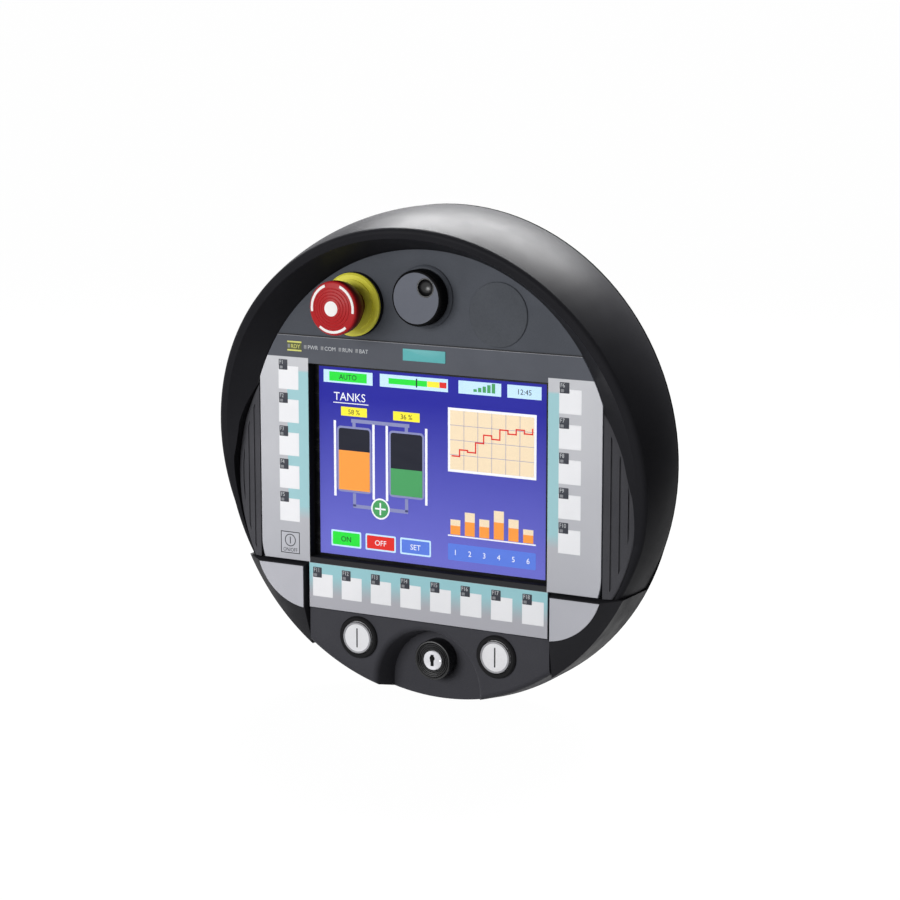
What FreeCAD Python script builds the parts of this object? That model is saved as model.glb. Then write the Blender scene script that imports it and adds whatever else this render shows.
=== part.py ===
import FreeCAD, Part
import math
import os
import Sketcher

# Operator panel: a round hand-held control panel for machines, in millimetres.
# It stands upright with its front towards -Y and +Z up. The origin is the centre
# of the flat rear face. A level is the height over that face towards the front,
# so a point at level 77 lies at Y = -77.

SIZES = {
    "rim_radius": (145.0, "drum radius at the parting line"),
    "drum_top": (120.0, "level that clears the whole front"),
    "drum_lean": (1.0, "downward lean of the drum in degrees"),
    "drum_bulge": (138.0, "radius of the drum's barrel-shaped wall"),
    "drum_widest": (9.5, "widest place of the drum in front of its base"),
    "parting_level": (40.0, "middle of the housing seal"),
    "seal_thickness": (1.2, "housing seal between front and rear"),
    "seal_width": (3.0, "housing seal, radially"),
    "seal_inset": (0.7, "seal behind the outer wall"),
    "lower_inset": (2.4, "radius of the lower part, less than the drum's"),
    "lower_drop": (8.0, "centre of the lower radius below the drum axis"),
    "foil_level": (77.0, "front of the membrane foil"),
    "foil_thickness": (0.5, "membrane foil"),
    "foil_top": (66.4, "upper edge of the foil above the drum axis"),
    "foil_inset": (0.6, "foil edge inside the plate opening"),
    "plate_thickness": (4.0, "front plate"),
    "plate_half_width": (115.0, "half of the plate opening's width"),
    "plate_gap": (0.3, "play round the front plate"),
    "plate_ledge": (5.0, "ledge that carries the front plate"),
    "column_bend_start": (60.0, "where the plate's sides start to bend in, below the axis"),
    "column_bend": (2.0, "how far the plate's sides bend in"),
    "foot_radius": (121.5, "foot of the inner slope"),
    "crest_radius": (137.4, "inner edge of the lip"),
    "crest_shift": (6.0, "centre of the lip's inner edge below the axis"),
    "crest_level": (80.2, "level of the lip plane on the drum axis"),
    "crest_lift": (0.2, "end of the inner slope over the lip plane"),
    "lip_tilt": (9.4, "tilt of the lip plane in degrees"),
    "lip_rounding": (3.0, "rounding of the outer lip edge"),
    "lip_low_level": (73.5, "lowest level of the lip, beside the lower seam"),
    "ring_wall": (6.0, "wall of the ring"),
    "ring_hollow_top": (63.0, "top of the hollow inside the ring"),
    "seam_drop": (72.5, "lower end of the ring below the axis"),
    "seam_gap": (1.8, "open joint round the corner covers"),
    "row_half_width": (81.3, "half width of the bottom key row"),
    "row_drop": (100.5, "lower edge of the bottom key row below the axis"),
    "display_width": (160.5, "display window"),
    "display_height": (118.5, "display window"),
    "display_drop": (9.7, "centre of the display below the axis"),
    "screen_recess": (6.0, "screen behind the foil"),
    "glass_thickness": (1.1, "touch panel"),
    "gasket_margin": (2.5, "display gasket round the window"),
    "lcd_margin": (3.5, "display module round the window"),
    "lcd_thickness": (11.0, "display module"),
    "key_size": (13.5, "side of a key window"),
    "key_gap": (0.3, "play round a key"),
    "key_thickness": (1.0, "key tile"),
    "key_travel": (0.4, "stroke of a key"),
    "key_corner": (0.4, "corner radius of a key"),
    "column_offset": (94.2, "key columns from the axis"),
    "column_top": (39.7, "first key of a column above the axis"),
    "column_pitch": (20.24, "key to key in a column"),
    "row_key_drop": (85.75, "bottom key row below the axis"),
    "row_pitch": (20.37, "key to key in the bottom row"),
    "power_key_drop": (61.5, "power key below the axis"),
    "estop_offset": (47.0, "emergency stop from the axis, to the left"),
    "estop_height": (87.0, "emergency stop above the axis"),
    "estop_collar_radius": (18.75, "yellow collar"),
    "estop_collar_thickness": (6.5, "yellow collar"),
    "estop_stem_radius": (9.0, "stem under the cap"),
    "estop_cap_radius": (16.0, "mushroom cap"),
    "estop_cap_height": (16.0, "mushroom cap"),
    "estop_top": (104.4, "front of the cap"),
    "estop_travel": (5.0, "stroke of the emergency stop"),
    "handwheel_height": (94.0, "handwheel above the axis"),
    "handwheel_base_radius": (18.5, "handwheel bezel"),
    "handwheel_base_height": (2.0, "handwheel bezel over the plate"),
    "knob_radius": (16.2, "handwheel knob"),
    "knob_top": (87.5, "front of the knob"),
    "knob_gap": (0.4, "play under the knob"),
    "cup_radius": (5.6, "finger cup in the knob"),
    "cup_offset_x": (6.3, "finger cup from the knob's centre"),
    "cup_offset_z": (6.5, "finger cup from the knob's centre"),
    "cup_depth": (5.0, "finger cup with its lining"),
    "cup_wall": (0.8, "lining of the finger cup"),
    "shaft_radius": (3.0, "handwheel shaft"),
    "blank_offset": (48.0, "blank plug from the axis, to the right"),
    "blank_height": (86.3, "blank plug above the axis"),
    "blank_radius": (18.9, "blank plug"),
    "blank_proud": (0.8, "blank plug over the plate"),
    "device_hole_radius": (11.3, "standard hole for the control devices"),
    "device_gap": (0.3, "play between a device and its hole"),
    "nut_radius": (14.0, "fixing nuts of the control devices"),
    "nut_thickness": (4.0, "fixing nuts of the control devices"),
    "chin_level": (75.5, "face of the chin"),
    "chin_draft": (2.4, "how far the chin's wall draws in"),
    "chin_draft_level": (58.0, "where the chin's wall starts to draw in"),
    "chin_rounding": (3.5, "rounding of the chin's front edge"),
    "ridge_inset": (0.6, "ridge of a corner cover inside the lower round"),
    "ridge_level": (72.8, "where the wall of a corner cover turns into its shoulder"),
    "chin_hollow_top": (54.0, "top of the hollow inside the chin"),
    "chin_wall": (4.0, "wall of the chin"),
    "pushbutton_offset": (46.9, "pushbuttons from the axis"),
    "pushbutton_drop": (115.2, "pushbuttons below the axis"),
    "bezel_radius": (12.9, "pushbutton bezel"),
    "bezel_height": (1.8, "pushbutton bezel over the chin"),
    "bezel_wall": (1.0, "lens inside the sleeve of its bezel"),
    "lens_proud": (0.5, "lens over its bezel"),
    "lens_travel": (2.5, "stroke of a pushbutton"),
    "key_switch_drop": (125.2, "key switch below the axis"),
    "key_collar_radius": (12.0, "collar of the key switch"),
    "key_switch_top": (69.0, "front of the key switch"),
    "key_barrel_radius": (6.2, "lock barrel"),
    "key_slot_width": (2.2, "slot for the key"),
    "key_slot_length": (7.0, "slot for the key"),
    "niche_floor": (60.0, "floor of the niche round the key switch"),
    "niche_radius": (31.1, "arch of the niche at its floor"),
    "niche_center_drop": (15.5, "centre of the arch below the key switch"),
    "niche_slope": (15.0, "slope of the niche wall in degrees"),
    "niche_rounding": (4.0, "rounding of the niche's front edge"),
    "cover_top": (79.4, "corner cover under its inlay"),
    "inlay_thickness": (0.6, "corner inlay"),
    "inlay_margin": (0.4, "cover edge round the inlay"),
    "inlay_center_x": (79.0, "centre of the inlay's round edge"),
    "inlay_center_drop": (62.7, "centre of the inlay's round edge below the axis"),
    "inlay_radius": (37.8, "inlay's round edge"),
    "pad_center_x": (35.4, "centre of the grip pad's round edge"),
    "pad_center_drop": (23.0, "centre of the grip pad below the axis"),
    "pad_radius": (98.6, "grip pad's round edge"),
    "pad_slope": (15.0, "grip pad's slope in degrees"),
    "pad_thickness": (4.5, "grip pad"),
    "pad_rounding": (1.5, "rounding of the grip pad's round edge"),
    "pad_groove": (1.4, "groove in a grip pad"),
    "pad_groove_depth": (0.9, "groove in a grip pad"),
    "pad_groove_inset": (3.5, "ends of the grooves inside the grip pad's round edge"),
    "pad_pitch": (4.9, "groove to groove"),
    "back_level": (18.0, "rear shell beside the spine"),
    "back_draw_in": (11.0, "how far the rear shell draws in towards its back"),
    "back_rounding": (9.0, "rounding of the rear shell's back edge"),
    "spine_half_width": (66.0, "half width of the raised spine"),
    "spine_radius": (120.0, "ends of the spine"),
    "spine_rounding": (6.0, "rounding of the spine"),
    "shell_wall": (4.0, "wall of the rear shell"),
    "bay_width": (88.0, "battery bay"),
    "bay_height": (112.0, "battery bay"),
    "bay_roof": (3.0, "wall over the battery bay"),
    "battery_gap": (0.3, "play round the battery pack and its cover"),
    "battery_cover_width": (98.0, "battery cover"),
    "battery_cover_height": (142.0, "battery cover"),
    "battery_cover_thickness": (3.0, "battery cover"),
    "battery_cover_corner": (6.0, "corner radius of the battery cover"),
    "cover_screw_height": (64.0, "battery cover screws from the axis"),
    "enable_offset": (96.0, "enabling buttons from the axis"),
    "enable_width": (20.0, "enabling button"),
    "enable_length": (88.0, "enabling button"),
    "enable_face": (10.0, "rear face of the enabling buttons"),
    "enable_flange": (2.0, "flange that holds an enabling button in"),
    "enable_travel": (5.0, "stroke of an enabling button"),
    "enable_gap": (0.4, "play round an enabling button"),
    "board_level": (45.0, "rear face of the main board"),
    "board_thickness": (1.6, "main board"),
    "board_width": (214.0, "main board"),
    "board_height": (122.0, "main board"),
    "board_drop": (9.7, "centre of the main board below the axis"),
    "post_offset_x": (76.0, "board posts from the axis"),
    "post_offset_z": (50.0, "board posts from the board's centre"),
    "post_radius": (4.0, "board posts"),
    "screw_radius": (2.0, "shank of a screw"),
    "screw_head_radius": (3.5, "head of a screw"),
    "screw_head_height": (2.6, "head of a screw"),
    "screw_gap": (0.1, "play round a screw"),
    "boss_radius": (5.5, "screw bosses"),
    "boss_circle": (127.0, "screw bosses from the axis"),
    "boss_reach": (12.0, "how far a screw enters the front"),
    "boss_seat": (32.0, "level on which the screw heads seat"),
    "chin_boss_offset": (66.0, "lower screws from the axis"),
    "chin_boss_drop": (117.0, "lower screws below the axis"),
}
SPAN = 400.0
RING_SCREW_ANGLES = (22.0, 62.0, 118.0, 158.0)
COLUMN_KEYS = 5
ROW_KEYS = 8
SIDES = (("left", -1), ("right", 1))
LEFT_TURN = 1
RIGHT_TURN = -1

doc = FreeCAD.newDocument("operator_panel")
pieces = []


class Size:
    """A length with the formula that ties a feature to the sheet."""

    def __init__(self, value, formula):
        self.value = value
        self.formula = formula

    def join(self, sign, other, value):
        return Size(value, f"({self.formula} {sign} {other.formula})")

    def __add__(self, other):
        other = as_size(other)
        return self.join("+", other, self.value + other.value)

    def __sub__(self, other):
        other = as_size(other)
        return self.join("-", other, self.value - other.value)

    def __mul__(self, other):
        other = as_size(other)
        return self.join("*", other, self.value * other.value)

    def __truediv__(self, other):
        other = as_size(other)
        return self.join("/", other, self.value / other.value)

    def __radd__(self, other):
        return as_size(other) + self

    def __rsub__(self, other):
        return as_size(other) - self

    def __rmul__(self, other):
        return as_size(other) * self

    def __neg__(self):
        return as_size(0) - self


class Sheet:
    """The driving sizes, each by its alias."""


def as_size(number):
    if isinstance(number, Size):
        return number
    return Size(float(number), f"({float(number)})")


def root(length):
    return Size(math.sqrt(length.value), f"sqrt({length.formula})")


def leg(hypotenuse, other_leg):
    """The other leg of a right-angled triangle."""
    return root(hypotenuse * hypotenuse - other_leg * other_leg)


def trig(function, degrees):
    value = getattr(math, function)(math.radians(degrees.value))
    return Size(value, f"{function}({degrees.formula} * 1 deg)")


def read_sizes():
    sheet = doc.addObject("Spreadsheet::Sheet", "Sizes")
    for row, (alias, (value, note)) in enumerate(SIZES.items(), start=1):
        sheet.set(f"A{row}", alias)
        sheet.set(f"B{row}", str(value))
        sheet.set(f"C{row}", note)
        sheet.setAlias(f"B{row}", alias)
        setattr(Sheet, alias, Size(value, f"Sizes.{alias}"))
    doc.recompute()


def bind(obj, prop, length):
    obj.setExpression(prop, as_size(length).formula)


def upright(obj, x=0, z=0, level=0, turn=90):
    """Stand an object on the rear face, or tip it about X by another turn."""
    axis = FreeCAD.Vector(1, 0, 0)
    obj.Placement = FreeCAD.Placement(FreeCAD.Vector(), FreeCAD.Rotation(axis, as_size(turn).value))
    if isinstance(turn, Size):
        bind(obj, "Placement.Rotation.Angle", turn)
    bind(obj, "Placement.Base.x", x)
    bind(obj, "Placement.Base.y", -as_size(level))
    bind(obj, "Placement.Base.z", z)
    return obj


def cylinder(name, radius, low, high, x=0, z=0):
    obj = doc.addObject("Part::Cylinder", name)
    bind(obj, "Radius", radius)
    bind(obj, "Height", as_size(high) - low)
    return upright(obj, x, z, low)


def cone(name, low_radius, high_radius, low, high, x=0, z=0):
    obj = doc.addObject("Part::Cone", name)
    bind(obj, "Radius1", low_radius)
    bind(obj, "Radius2", high_radius)
    bind(obj, "Height", as_size(high) - low)
    return upright(obj, x, z, low)


def block(name, width, height, low, high, x=0, z=0):
    """A box centred on x and z between two levels."""
    obj = doc.addObject("Part::Box", name)
    bind(obj, "Length", width)
    bind(obj, "Width", height)
    bind(obj, "Height", as_size(high) - low)
    return upright(obj, as_size(x) - as_size(width) / 2, as_size(z) - as_size(height) / 2, low)


def circle(name, radius, level, z=0, turn=90):
    """A circle on a plane of its own, with its start at the bottom."""
    plane = upright(doc.addObject("Part::Plane", f"{name}_plane"), 0, z, level, turn)
    obj = doc.addObject("Part::Circle", name)
    bind(obj, "Radius", radius)
    obj.AttachmentSupport = (plane, [""])
    obj.MapMode = "ObjectXY"
    obj.AttachmentOffset = FreeCAD.Placement(FreeCAD.Vector(), FreeCAD.Rotation(FreeCAD.Vector(0, 0, 1), -90))
    return obj


def fuse(name, *shapes):
    obj = doc.addObject("Part::MultiFuse", name)
    obj.Shapes = list(shapes)
    return obj


def common(name, base, tool):
    obj = doc.addObject("Part::Common", name)
    obj.Base = base
    obj.Tool = tool
    return obj


def cut(name, base, *tools):
    obj = doc.addObject("Part::Cut", name)
    obj.Base = base
    obj.Tool = tools[0] if len(tools) == 1 else fuse(f"{name}_tools", *tools)
    return obj


def rounded(name, base, radius, chosen):
    """Round the edges of a shape for which chosen(edge) is true."""
    doc.recompute()
    obj = doc.addObject("Part::Fillet", name)
    obj.Base = base
    edges = enumerate(base.Shape.Edges, start=1)
    obj.Edges = [(number, radius.value, radius.value) for number, edge in edges if chosen(edge)]
    return obj


def piece(label, obj):
    obj.Label = label
    pieces.append(obj)
    return obj


def new_body(name, x=0, z=0, level=0):
    """A body whose own XY is the front view and whose own Z is the level."""
    return upright(doc.addObject("PartDesign::Body", name), x, z, level)


def sketch_on(body, name, level=0, role="XY_Plane"):
    plane = next(item for item in body.Origin.OriginFeatures if item.Role == role)
    sketch = body.newObject("Sketcher::SketchObject", name)
    sketch.AttachmentSupport = (plane, [""])
    sketch.MapMode = "FlatFace"
    bind(sketch, "AttachmentOffset.Base.z", level)
    return sketch


def limit(sketch, kind, *points, length):
    number = sketch.addConstraint(Sketcher.Constraint(kind, *points, length.value))
    sketch.setExpression(f"Constraints[{number}]", length.formula)


def pin(sketch, geometry, point, x, z):
    limit(sketch, "DistanceX", -1, 1, geometry, point, length=as_size(x))
    limit(sketch, "DistanceY", -1, 1, geometry, point, length=as_size(z))


def draw_circle(sketch, radius, x=0, z=0):
    center = FreeCAD.Vector(as_size(x).value, as_size(z).value, 0)
    normal = FreeCAD.Vector(0, 0, 1)
    number = sketch.addGeometry(Part.Circle(center, normal, radius.value), False)
    limit(sketch, "Radius", number, length=radius)
    pin(sketch, number, 3, x, z)


def arc_between(start, end, radius, turn):
    """The shorter arc from start to end that turns left or right."""
    chord = end - start
    side = FreeCAD.Vector(-chord.y, chord.x, 0).normalize() * turn
    height = math.sqrt(max(radius ** 2 - (chord.Length / 2) ** 2, 0.0))
    center = (start + end) / 2 + side * height
    first, last = (start, end) if turn == LEFT_TURN else (end, start)
    angles = [math.atan2(p.y - center.y, p.x - center.x) for p in (first, last)]
    full = Part.Circle(center, FreeCAD.Vector(0, 0, 1), radius)
    return Part.ArcOfCircle(full, angles[0], angles[1])


def draw_outline(sketch, corners):
    """A closed outline: (x, z) starts a straight stretch, (x, z, radius, turn) an arc."""
    ends = []
    for corner, following in zip(corners, corners[1:] + corners[:1]):
        start = FreeCAD.Vector(as_size(corner[0]).value, as_size(corner[1]).value, 0)
        end = FreeCAD.Vector(as_size(following[0]).value, as_size(following[1]).value, 0)
        if len(corner) == 2:
            ends.append((sketch.addGeometry(Part.LineSegment(start, end), False), 1, 2))
            continue
        radius = as_size(corner[2])
        arc = sketch.addGeometry(arc_between(start, end, radius.value, corner[3]), False)
        limit(sketch, "Radius", arc, length=radius)
        ends.append((arc, 1, 2) if corner[3] == LEFT_TURN else (arc, 2, 1))
    for index, (geometry, first, last) in enumerate(ends):
        before = ends[index - 1]
        sketch.addConstraint(Sketcher.Constraint("Coincident", before[0], before[2], geometry, first))
        pin(sketch, geometry, first, corners[index][0], corners[index][1])


def rectangle(width, height, x=0, z=0):
    left, right = as_size(x) - width / 2, as_size(x) + width / 2
    low, high = as_size(z) - height / 2, as_size(z) + height / 2
    return [(left, low), (right, low), (right, high), (left, high)]


def rounded_rectangle(width, height, corner, x=0, z=0):
    left, right = as_size(x) - width / 2, as_size(x) + width / 2
    low, high = as_size(z) - height / 2, as_size(z) + height / 2
    return [
        (left + corner, low),
        (right - corner, low, corner, LEFT_TURN),
        (right, low + corner),
        (right, high - corner, corner, LEFT_TURN),
        (right - corner, high),
        (left + corner, high, corner, LEFT_TURN),
        (left, high - corner),
        (left, low + corner, corner, LEFT_TURN),
    ]


def pad(body, sketch, length, taper=None):
    feature = body.newObject("PartDesign::Pad", f"{sketch.Name}_pad")
    feature.Profile = sketch
    bind(feature, "Length", length)
    if taper is not None:
        bind(feature, "TaperAngle", taper)
    return feature


def pocket(body, sketch, depth):
    feature = body.newObject("PartDesign::Pocket", f"{sketch.Name}_pocket")
    feature.Profile = sketch
    bind(feature, "Length", depth)
    return feature


def repeat(body, feature, sketch, axis, step, count, reverse=False):
    pattern = body.newObject("PartDesign::LinearPattern", f"{feature.Name}_pattern")
    pattern.Originals = [feature]
    pattern.Direction = (sketch, [axis])
    bind(pattern, "Length", step * (count - 1))
    pattern.Occurrences = count
    pattern.Reversed = reverse
    body.Tip = pattern
    return pattern


def slab(name, corners, low, high):
    """A plate of one outline between two levels."""
    body = new_body(name)
    sketch = sketch_on(body, f"{name}_outline", low)
    draw_outline(sketch, corners)
    pad(body, sketch, as_size(high) - low)
    return body


def turned(name, corners, x=0, z=0):
    """A turned piece: its profile is given as radius and level."""
    body = new_body(name, x, z)
    sketch = sketch_on(body, f"{name}_profile", role="XZ_Plane")
    draw_outline(sketch, corners)
    feature = body.newObject("PartDesign::Revolution", f"{name}_turn")
    feature.Profile = sketch
    feature.ReferenceAxis = (sketch, ["V_Axis"])
    feature.Angle = 360.0
    return body


def derived_sizes():
    """Levels and radii that follow from the driving sizes."""
    Sheet.front_base = Sheet.parting_level + Sheet.seal_thickness / 2
    Sheet.rear_top = Sheet.parting_level - Sheet.seal_thickness / 2
    Sheet.plate_top = Sheet.foil_level - Sheet.foil_thickness
    Sheet.plate_bottom = Sheet.plate_top - Sheet.plate_thickness
    Sheet.screen_level = Sheet.foil_level - Sheet.screen_recess
    Sheet.bay_top = Sheet.back_level + Sheet.shell_wall - Sheet.bay_roof
    Sheet.cavity_floor = Sheet.back_level + Sheet.shell_wall
    Sheet.lower_z = -Sheet.lower_drop
    Sheet.display_z = -Sheet.display_drop
    Sheet.cover_x = Sheet.row_half_width + Sheet.seam_gap
    Sheet.cover_z = -(Sheet.seam_drop + Sheet.seam_gap)
    Sheet.chin_z = -(Sheet.row_drop + Sheet.plate_gap)
    Sheet.lower_radius = Sheet.rim_radius - Sheet.lower_inset
    Sheet.chin_front_radius = Sheet.lower_radius - Sheet.chin_draft
    Sheet.chin_bottom = Sheet.lower_z - Sheet.lower_radius - Sheet.ring_wall
    Sheet.ridge_radius = Sheet.lower_radius - Sheet.ridge_inset
    Sheet.lens_radius = Sheet.device_hole_radius - Sheet.device_gap - Sheet.bezel_wall


def plate_outline(shrink):
    """The front plate's opening, made smaller all round."""
    half = Sheet.plate_half_width - shrink
    radius = Sheet.foot_radius - shrink
    seam = -(Sheet.seam_drop - shrink)
    bend = -as_size(Sheet.column_bend_start)
    foot = half - Sheet.column_bend
    row = Sheet.row_half_width - shrink
    bottom = -(Sheet.row_drop - shrink)
    shoulder = leg(radius, half)
    fall = bend - seam
    curve = (fall * fall + Sheet.column_bend * Sheet.column_bend) / (2 * Sheet.column_bend)
    return [
        (half, shoulder, radius, LEFT_TURN),
        (-half, shoulder),
        (-half, bend, curve, LEFT_TURN),
        (-foot, seam),
        (-row, seam),
        (-row, bottom),
        (row, bottom),
        (row, seam),
        (foot, seam, curve, LEFT_TURN),
        (half, bend),
    ]


def foil_outline():
    """The plate's outline with a straight upper edge."""
    shrink = Sheet.foil_inset
    radius = Sheet.foot_radius - shrink
    top = leg(radius, Sheet.foil_top)
    corners = plate_outline(shrink)
    half, shoulder = corners[0][0], corners[0][1]
    return [
        (half, shoulder, radius, LEFT_TURN),
        (top, Sheet.foil_top),
        (-top, Sheet.foil_top, radius, LEFT_TURN),
    ] + corners[1:]


def key_places():
    """Node name and centre of every key on the membrane."""
    places = []
    for index in range(COLUMN_KEYS):
        z = Sheet.column_top - Sheet.column_pitch * index
        places.append((f"key_left_{index + 1}", -Sheet.column_offset, z))
        places.append((f"key_right_{index + 1}", Sheet.column_offset, z))
    for index in range(ROW_KEYS):
        x = Sheet.row_pitch * (index - (ROW_KEYS - 1) / 2)
        places.append((f"key_bottom_{index + 1}", x, -Sheet.row_key_drop))
    places.append(("key_power", -Sheet.column_offset, -Sheet.power_key_drop))
    return places


def key_openings(body, level, depth):
    """Square openings under the keys: two columns, the bottom row and the power key."""
    side = Sheet.key_size + Sheet.key_gap * 2
    starts = (
        ("left", -Sheet.column_offset, Sheet.column_top, "V_Axis", Sheet.column_pitch, COLUMN_KEYS, True),
        ("right", Sheet.column_offset, Sheet.column_top, "V_Axis", Sheet.column_pitch, COLUMN_KEYS, True),
        ("bottom", -Sheet.row_pitch * ((ROW_KEYS - 1) / 2), -Sheet.row_key_drop,
         "H_Axis", Sheet.row_pitch, ROW_KEYS, False),
    )
    for name, x, z, axis, step, count, reverse in starts:
        sketch = sketch_on(body, f"{body.Name}_{name}_key", level)
        draw_outline(sketch, rectangle(side, side, x, z))
        opening = pocket(body, sketch, depth)
        repeat(body, opening, sketch, axis, step, count, reverse)
    sketch = sketch_on(body, f"{body.Name}_power_key", level)
    draw_outline(sketch, rectangle(side, side, -Sheet.column_offset, -Sheet.power_key_drop))
    body.Tip = pocket(body, sketch, depth)


def lower_form(name, shrink, low, high):
    """The round of the lower part."""
    return cylinder(name, Sheet.lower_radius - shrink, low, high, 0, Sheet.lower_z)


def beside_lip(name, depth, turn):
    """Everything on one side of a plane parallel to the lip."""
    obj = doc.addObject("Part::Cylinder", name)
    bind(obj, "Radius", SPAN)
    bind(obj, "Height", SPAN)
    return upright(obj, 0, 0, Sheet.crest_level - depth, Sheet.lip_tilt + turn)


def on_outer_lip(edge):
    """True for the edges where the lip meets the drum's wall."""
    slope = math.tan(math.radians(Sheet.lip_tilt.value))
    first, last = edge.ParameterRange
    points = [edge.valueAt(first + (last - first) * share) for share in (0.05, 0.35, 0.65, 0.95)]
    for point in points:
        if math.hypot(point.x, point.z + Sheet.crest_shift.value) < Sheet.crest_radius.value + 1:
            return False
    tilted = all(abs(-p.y - Sheet.crest_level.value - slope * p.z) < 0.05 for p in points)
    level = all(abs(-p.y - Sheet.lip_low_level.value) < 0.01 for p in points)
    return edge.BoundBox.ZLength > 1 and (tilted or level)


def grip_wedge(name, side, low, high):
    """A bar along a grip pad between two depths under the sloping surface."""
    inner = Sheet.plate_half_width - Sheet.plate_gap
    outer = Sheet.pad_center_x + Sheet.pad_radius + Sheet.lip_rounding
    fall = (outer - inner) * trig("tan", Sheet.pad_slope)
    body = new_body(name)
    sketch = sketch_on(body, f"{name}_profile", Sheet.pad_center_drop, role="XZ_Plane")
    top = Sheet.foil_level - low
    floor = Sheet.foil_level - high
    draw_outline(sketch, [
        (inner * side, floor),
        (outer * side, floor - fall),
        (outer * side, top - fall),
        (inner * side, top),
    ])
    bar = pad(body, sketch, Sheet.pad_radius * 2 + Sheet.pad_groove)
    bar.SideType = "Symmetric"
    return body


def grip_round(name, side, radius):
    return cylinder(name, radius, Sheet.front_base, Sheet.drum_top, Sheet.pad_center_x * side,
                    -Sheet.pad_center_drop)


def ring_bosses(name, radius, low, high):
    """Screw bosses on the drum's screw circle."""
    bosses = []
    for number, angle in enumerate(RING_SCREW_ANGLES, start=1):
        x = Sheet.boss_circle * math.cos(math.radians(angle))
        z = Sheet.boss_circle * math.sin(math.radians(angle))
        bosses.append(cylinder(f"{name}_{number}", radius, low, high, x, z))
    return bosses


def chin_bosses(name, radius, low, high):
    return [
        cylinder(f"{name}_{label}", radius, low, high, Sheet.chin_boss_offset * side, -Sheet.chin_boss_drop)
        for label, side in SIDES
    ]


def leaning_drum():
    """The outer round of the ring: a barrel that leans down towards the front."""
    lean = Sheet.drum_lean
    start = Sheet.rim_radius * trig("tan", lean) * 1.5
    reach = Sheet.drum_top - Sheet.front_base
    bulge = Sheet.drum_bulge
    center = Sheet.rim_radius * (trig("cos", lean) + 1) / 2 - leg(bulge, Sheet.drum_widest)
    back = center + leg(bulge, start + Sheet.drum_widest)
    front = center + leg(bulge, reach - Sheet.drum_widest)
    barrel = turned("drum_barrel", [
        (0, -start),
        (back, -start, bulge, LEFT_TURN),
        (front, reach),
        (0, reach),
    ])
    upright(barrel, 0, 0, Sheet.front_base, lean + 90)
    behind = block("drum_behind", SPAN, SPAN, -SPAN, Sheet.front_base)
    return cut("ring_drum", barrel, behind)


def ring_form():
    """The drum with its tilted lip, dished down to the front plate.

    Beside the lower seam the lip stays at one level.
    """
    below = block("ring_below_seam", SPAN, SPAN, 0, SPAN, 0, -(Sheet.seam_drop + SPAN / 2))
    kept = cut("ring_above_seam", leaning_drum(), below)
    over = block("ring_over_low_lip", SPAN * 2, SPAN * 2, Sheet.lip_low_level, SPAN)
    fore = common("ring_fore", beside_lip("ring_fore_lip", 0, 90), over)
    lipped = rounded("ring_lip", cut("ring_lipped", kept, fore), Sheet.lip_rounding, on_outer_lip)
    tilt = Sheet.lip_tilt + 90
    crest = Sheet.crest_level - trig("tan", Sheet.lip_tilt) * Sheet.crest_shift + Sheet.crest_lift
    dish = doc.addObject("Part::Loft", "ring_dish")
    dish.Sections = [
        circle("dish_foot", Sheet.foot_radius, Sheet.foil_level),
        circle("dish_crest", Sheet.crest_radius, crest, -Sheet.crest_shift, tilt),
        circle("dish_mouth", Sheet.crest_radius, crest + Sheet.foot_radius / 2, -Sheet.crest_shift, tilt),
    ]
    dish.Solid = True
    dish.Ruled = True
    return cut("ring_form", lipped, common("ring_dish_limit", dish, over))


def make_front_ring():
    form = ring_form()
    hollow = common(
        "ring_hollow",
        cylinder("ring_core", Sheet.rim_radius - Sheet.ring_wall, Sheet.front_base, Sheet.ring_hollow_top),
        beside_lip("ring_core_limit", Sheet.ring_wall, -90),
    )
    bosses = ring_bosses("ring_boss", Sheet.boss_radius, Sheet.front_base, Sheet.ring_hollow_top)
    hollow = cut("ring_hollow_round_bosses", hollow, *bosses)
    seat = slab("ring_plate_seat", plate_outline(as_size(0)), Sheet.plate_bottom, Sheet.drum_top)
    mouth = slab("ring_mouth", plate_outline(Sheet.plate_ledge), Sheet.front_base, Sheet.drum_top)
    room = Sheet.lcd_margin * 2 + Sheet.plate_gap * 2
    display = block("ring_display_room", Sheet.display_width + room, Sheet.display_height + room,
                    Sheet.front_base, Sheet.plate_bottom, 0, Sheet.display_z)
    tools = [hollow, seat, mouth, display]
    for label, side in SIDES:
        wedge = grip_wedge(f"ring_grip_wedge_{label}", side, -Sheet.ring_wall, Sheet.pad_thickness)
        bounds = grip_round(f"ring_grip_round_{label}", side, Sheet.pad_radius + Sheet.plate_gap)
        tools.append(common(f"ring_grip_pocket_{label}", wedge, bounds))
    hole = Sheet.screw_radius + Sheet.screw_gap
    depth = Sheet.front_base + Sheet.boss_reach + Sheet.screw_gap
    tools += ring_bosses("ring_screw_hole", hole, Sheet.rear_top, depth)
    piece("front_ring", cut("front_ring", form, *tools))


def on_pad_edge(edge):
    """True for the round edge at the top of a grip pad."""
    first, last = edge.ParameterRange
    points = [edge.valueAt(first + (last - first) * share) for share in (0.1, 0.5, 0.9)]
    slope = math.tan(math.radians(Sheet.pad_slope.value))
    inner = Sheet.plate_half_width.value - Sheet.plate_gap.value
    for point in points:
        radius = math.hypot(abs(point.x) - Sheet.pad_center_x.value, point.z + Sheet.pad_center_drop.value)
        top = Sheet.foil_level.value - (abs(point.x) - inner) * slope
        if abs(radius - Sheet.pad_radius.value) > 0.01 or abs(-point.y - top) > 0.01:
            return False
    return True


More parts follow.
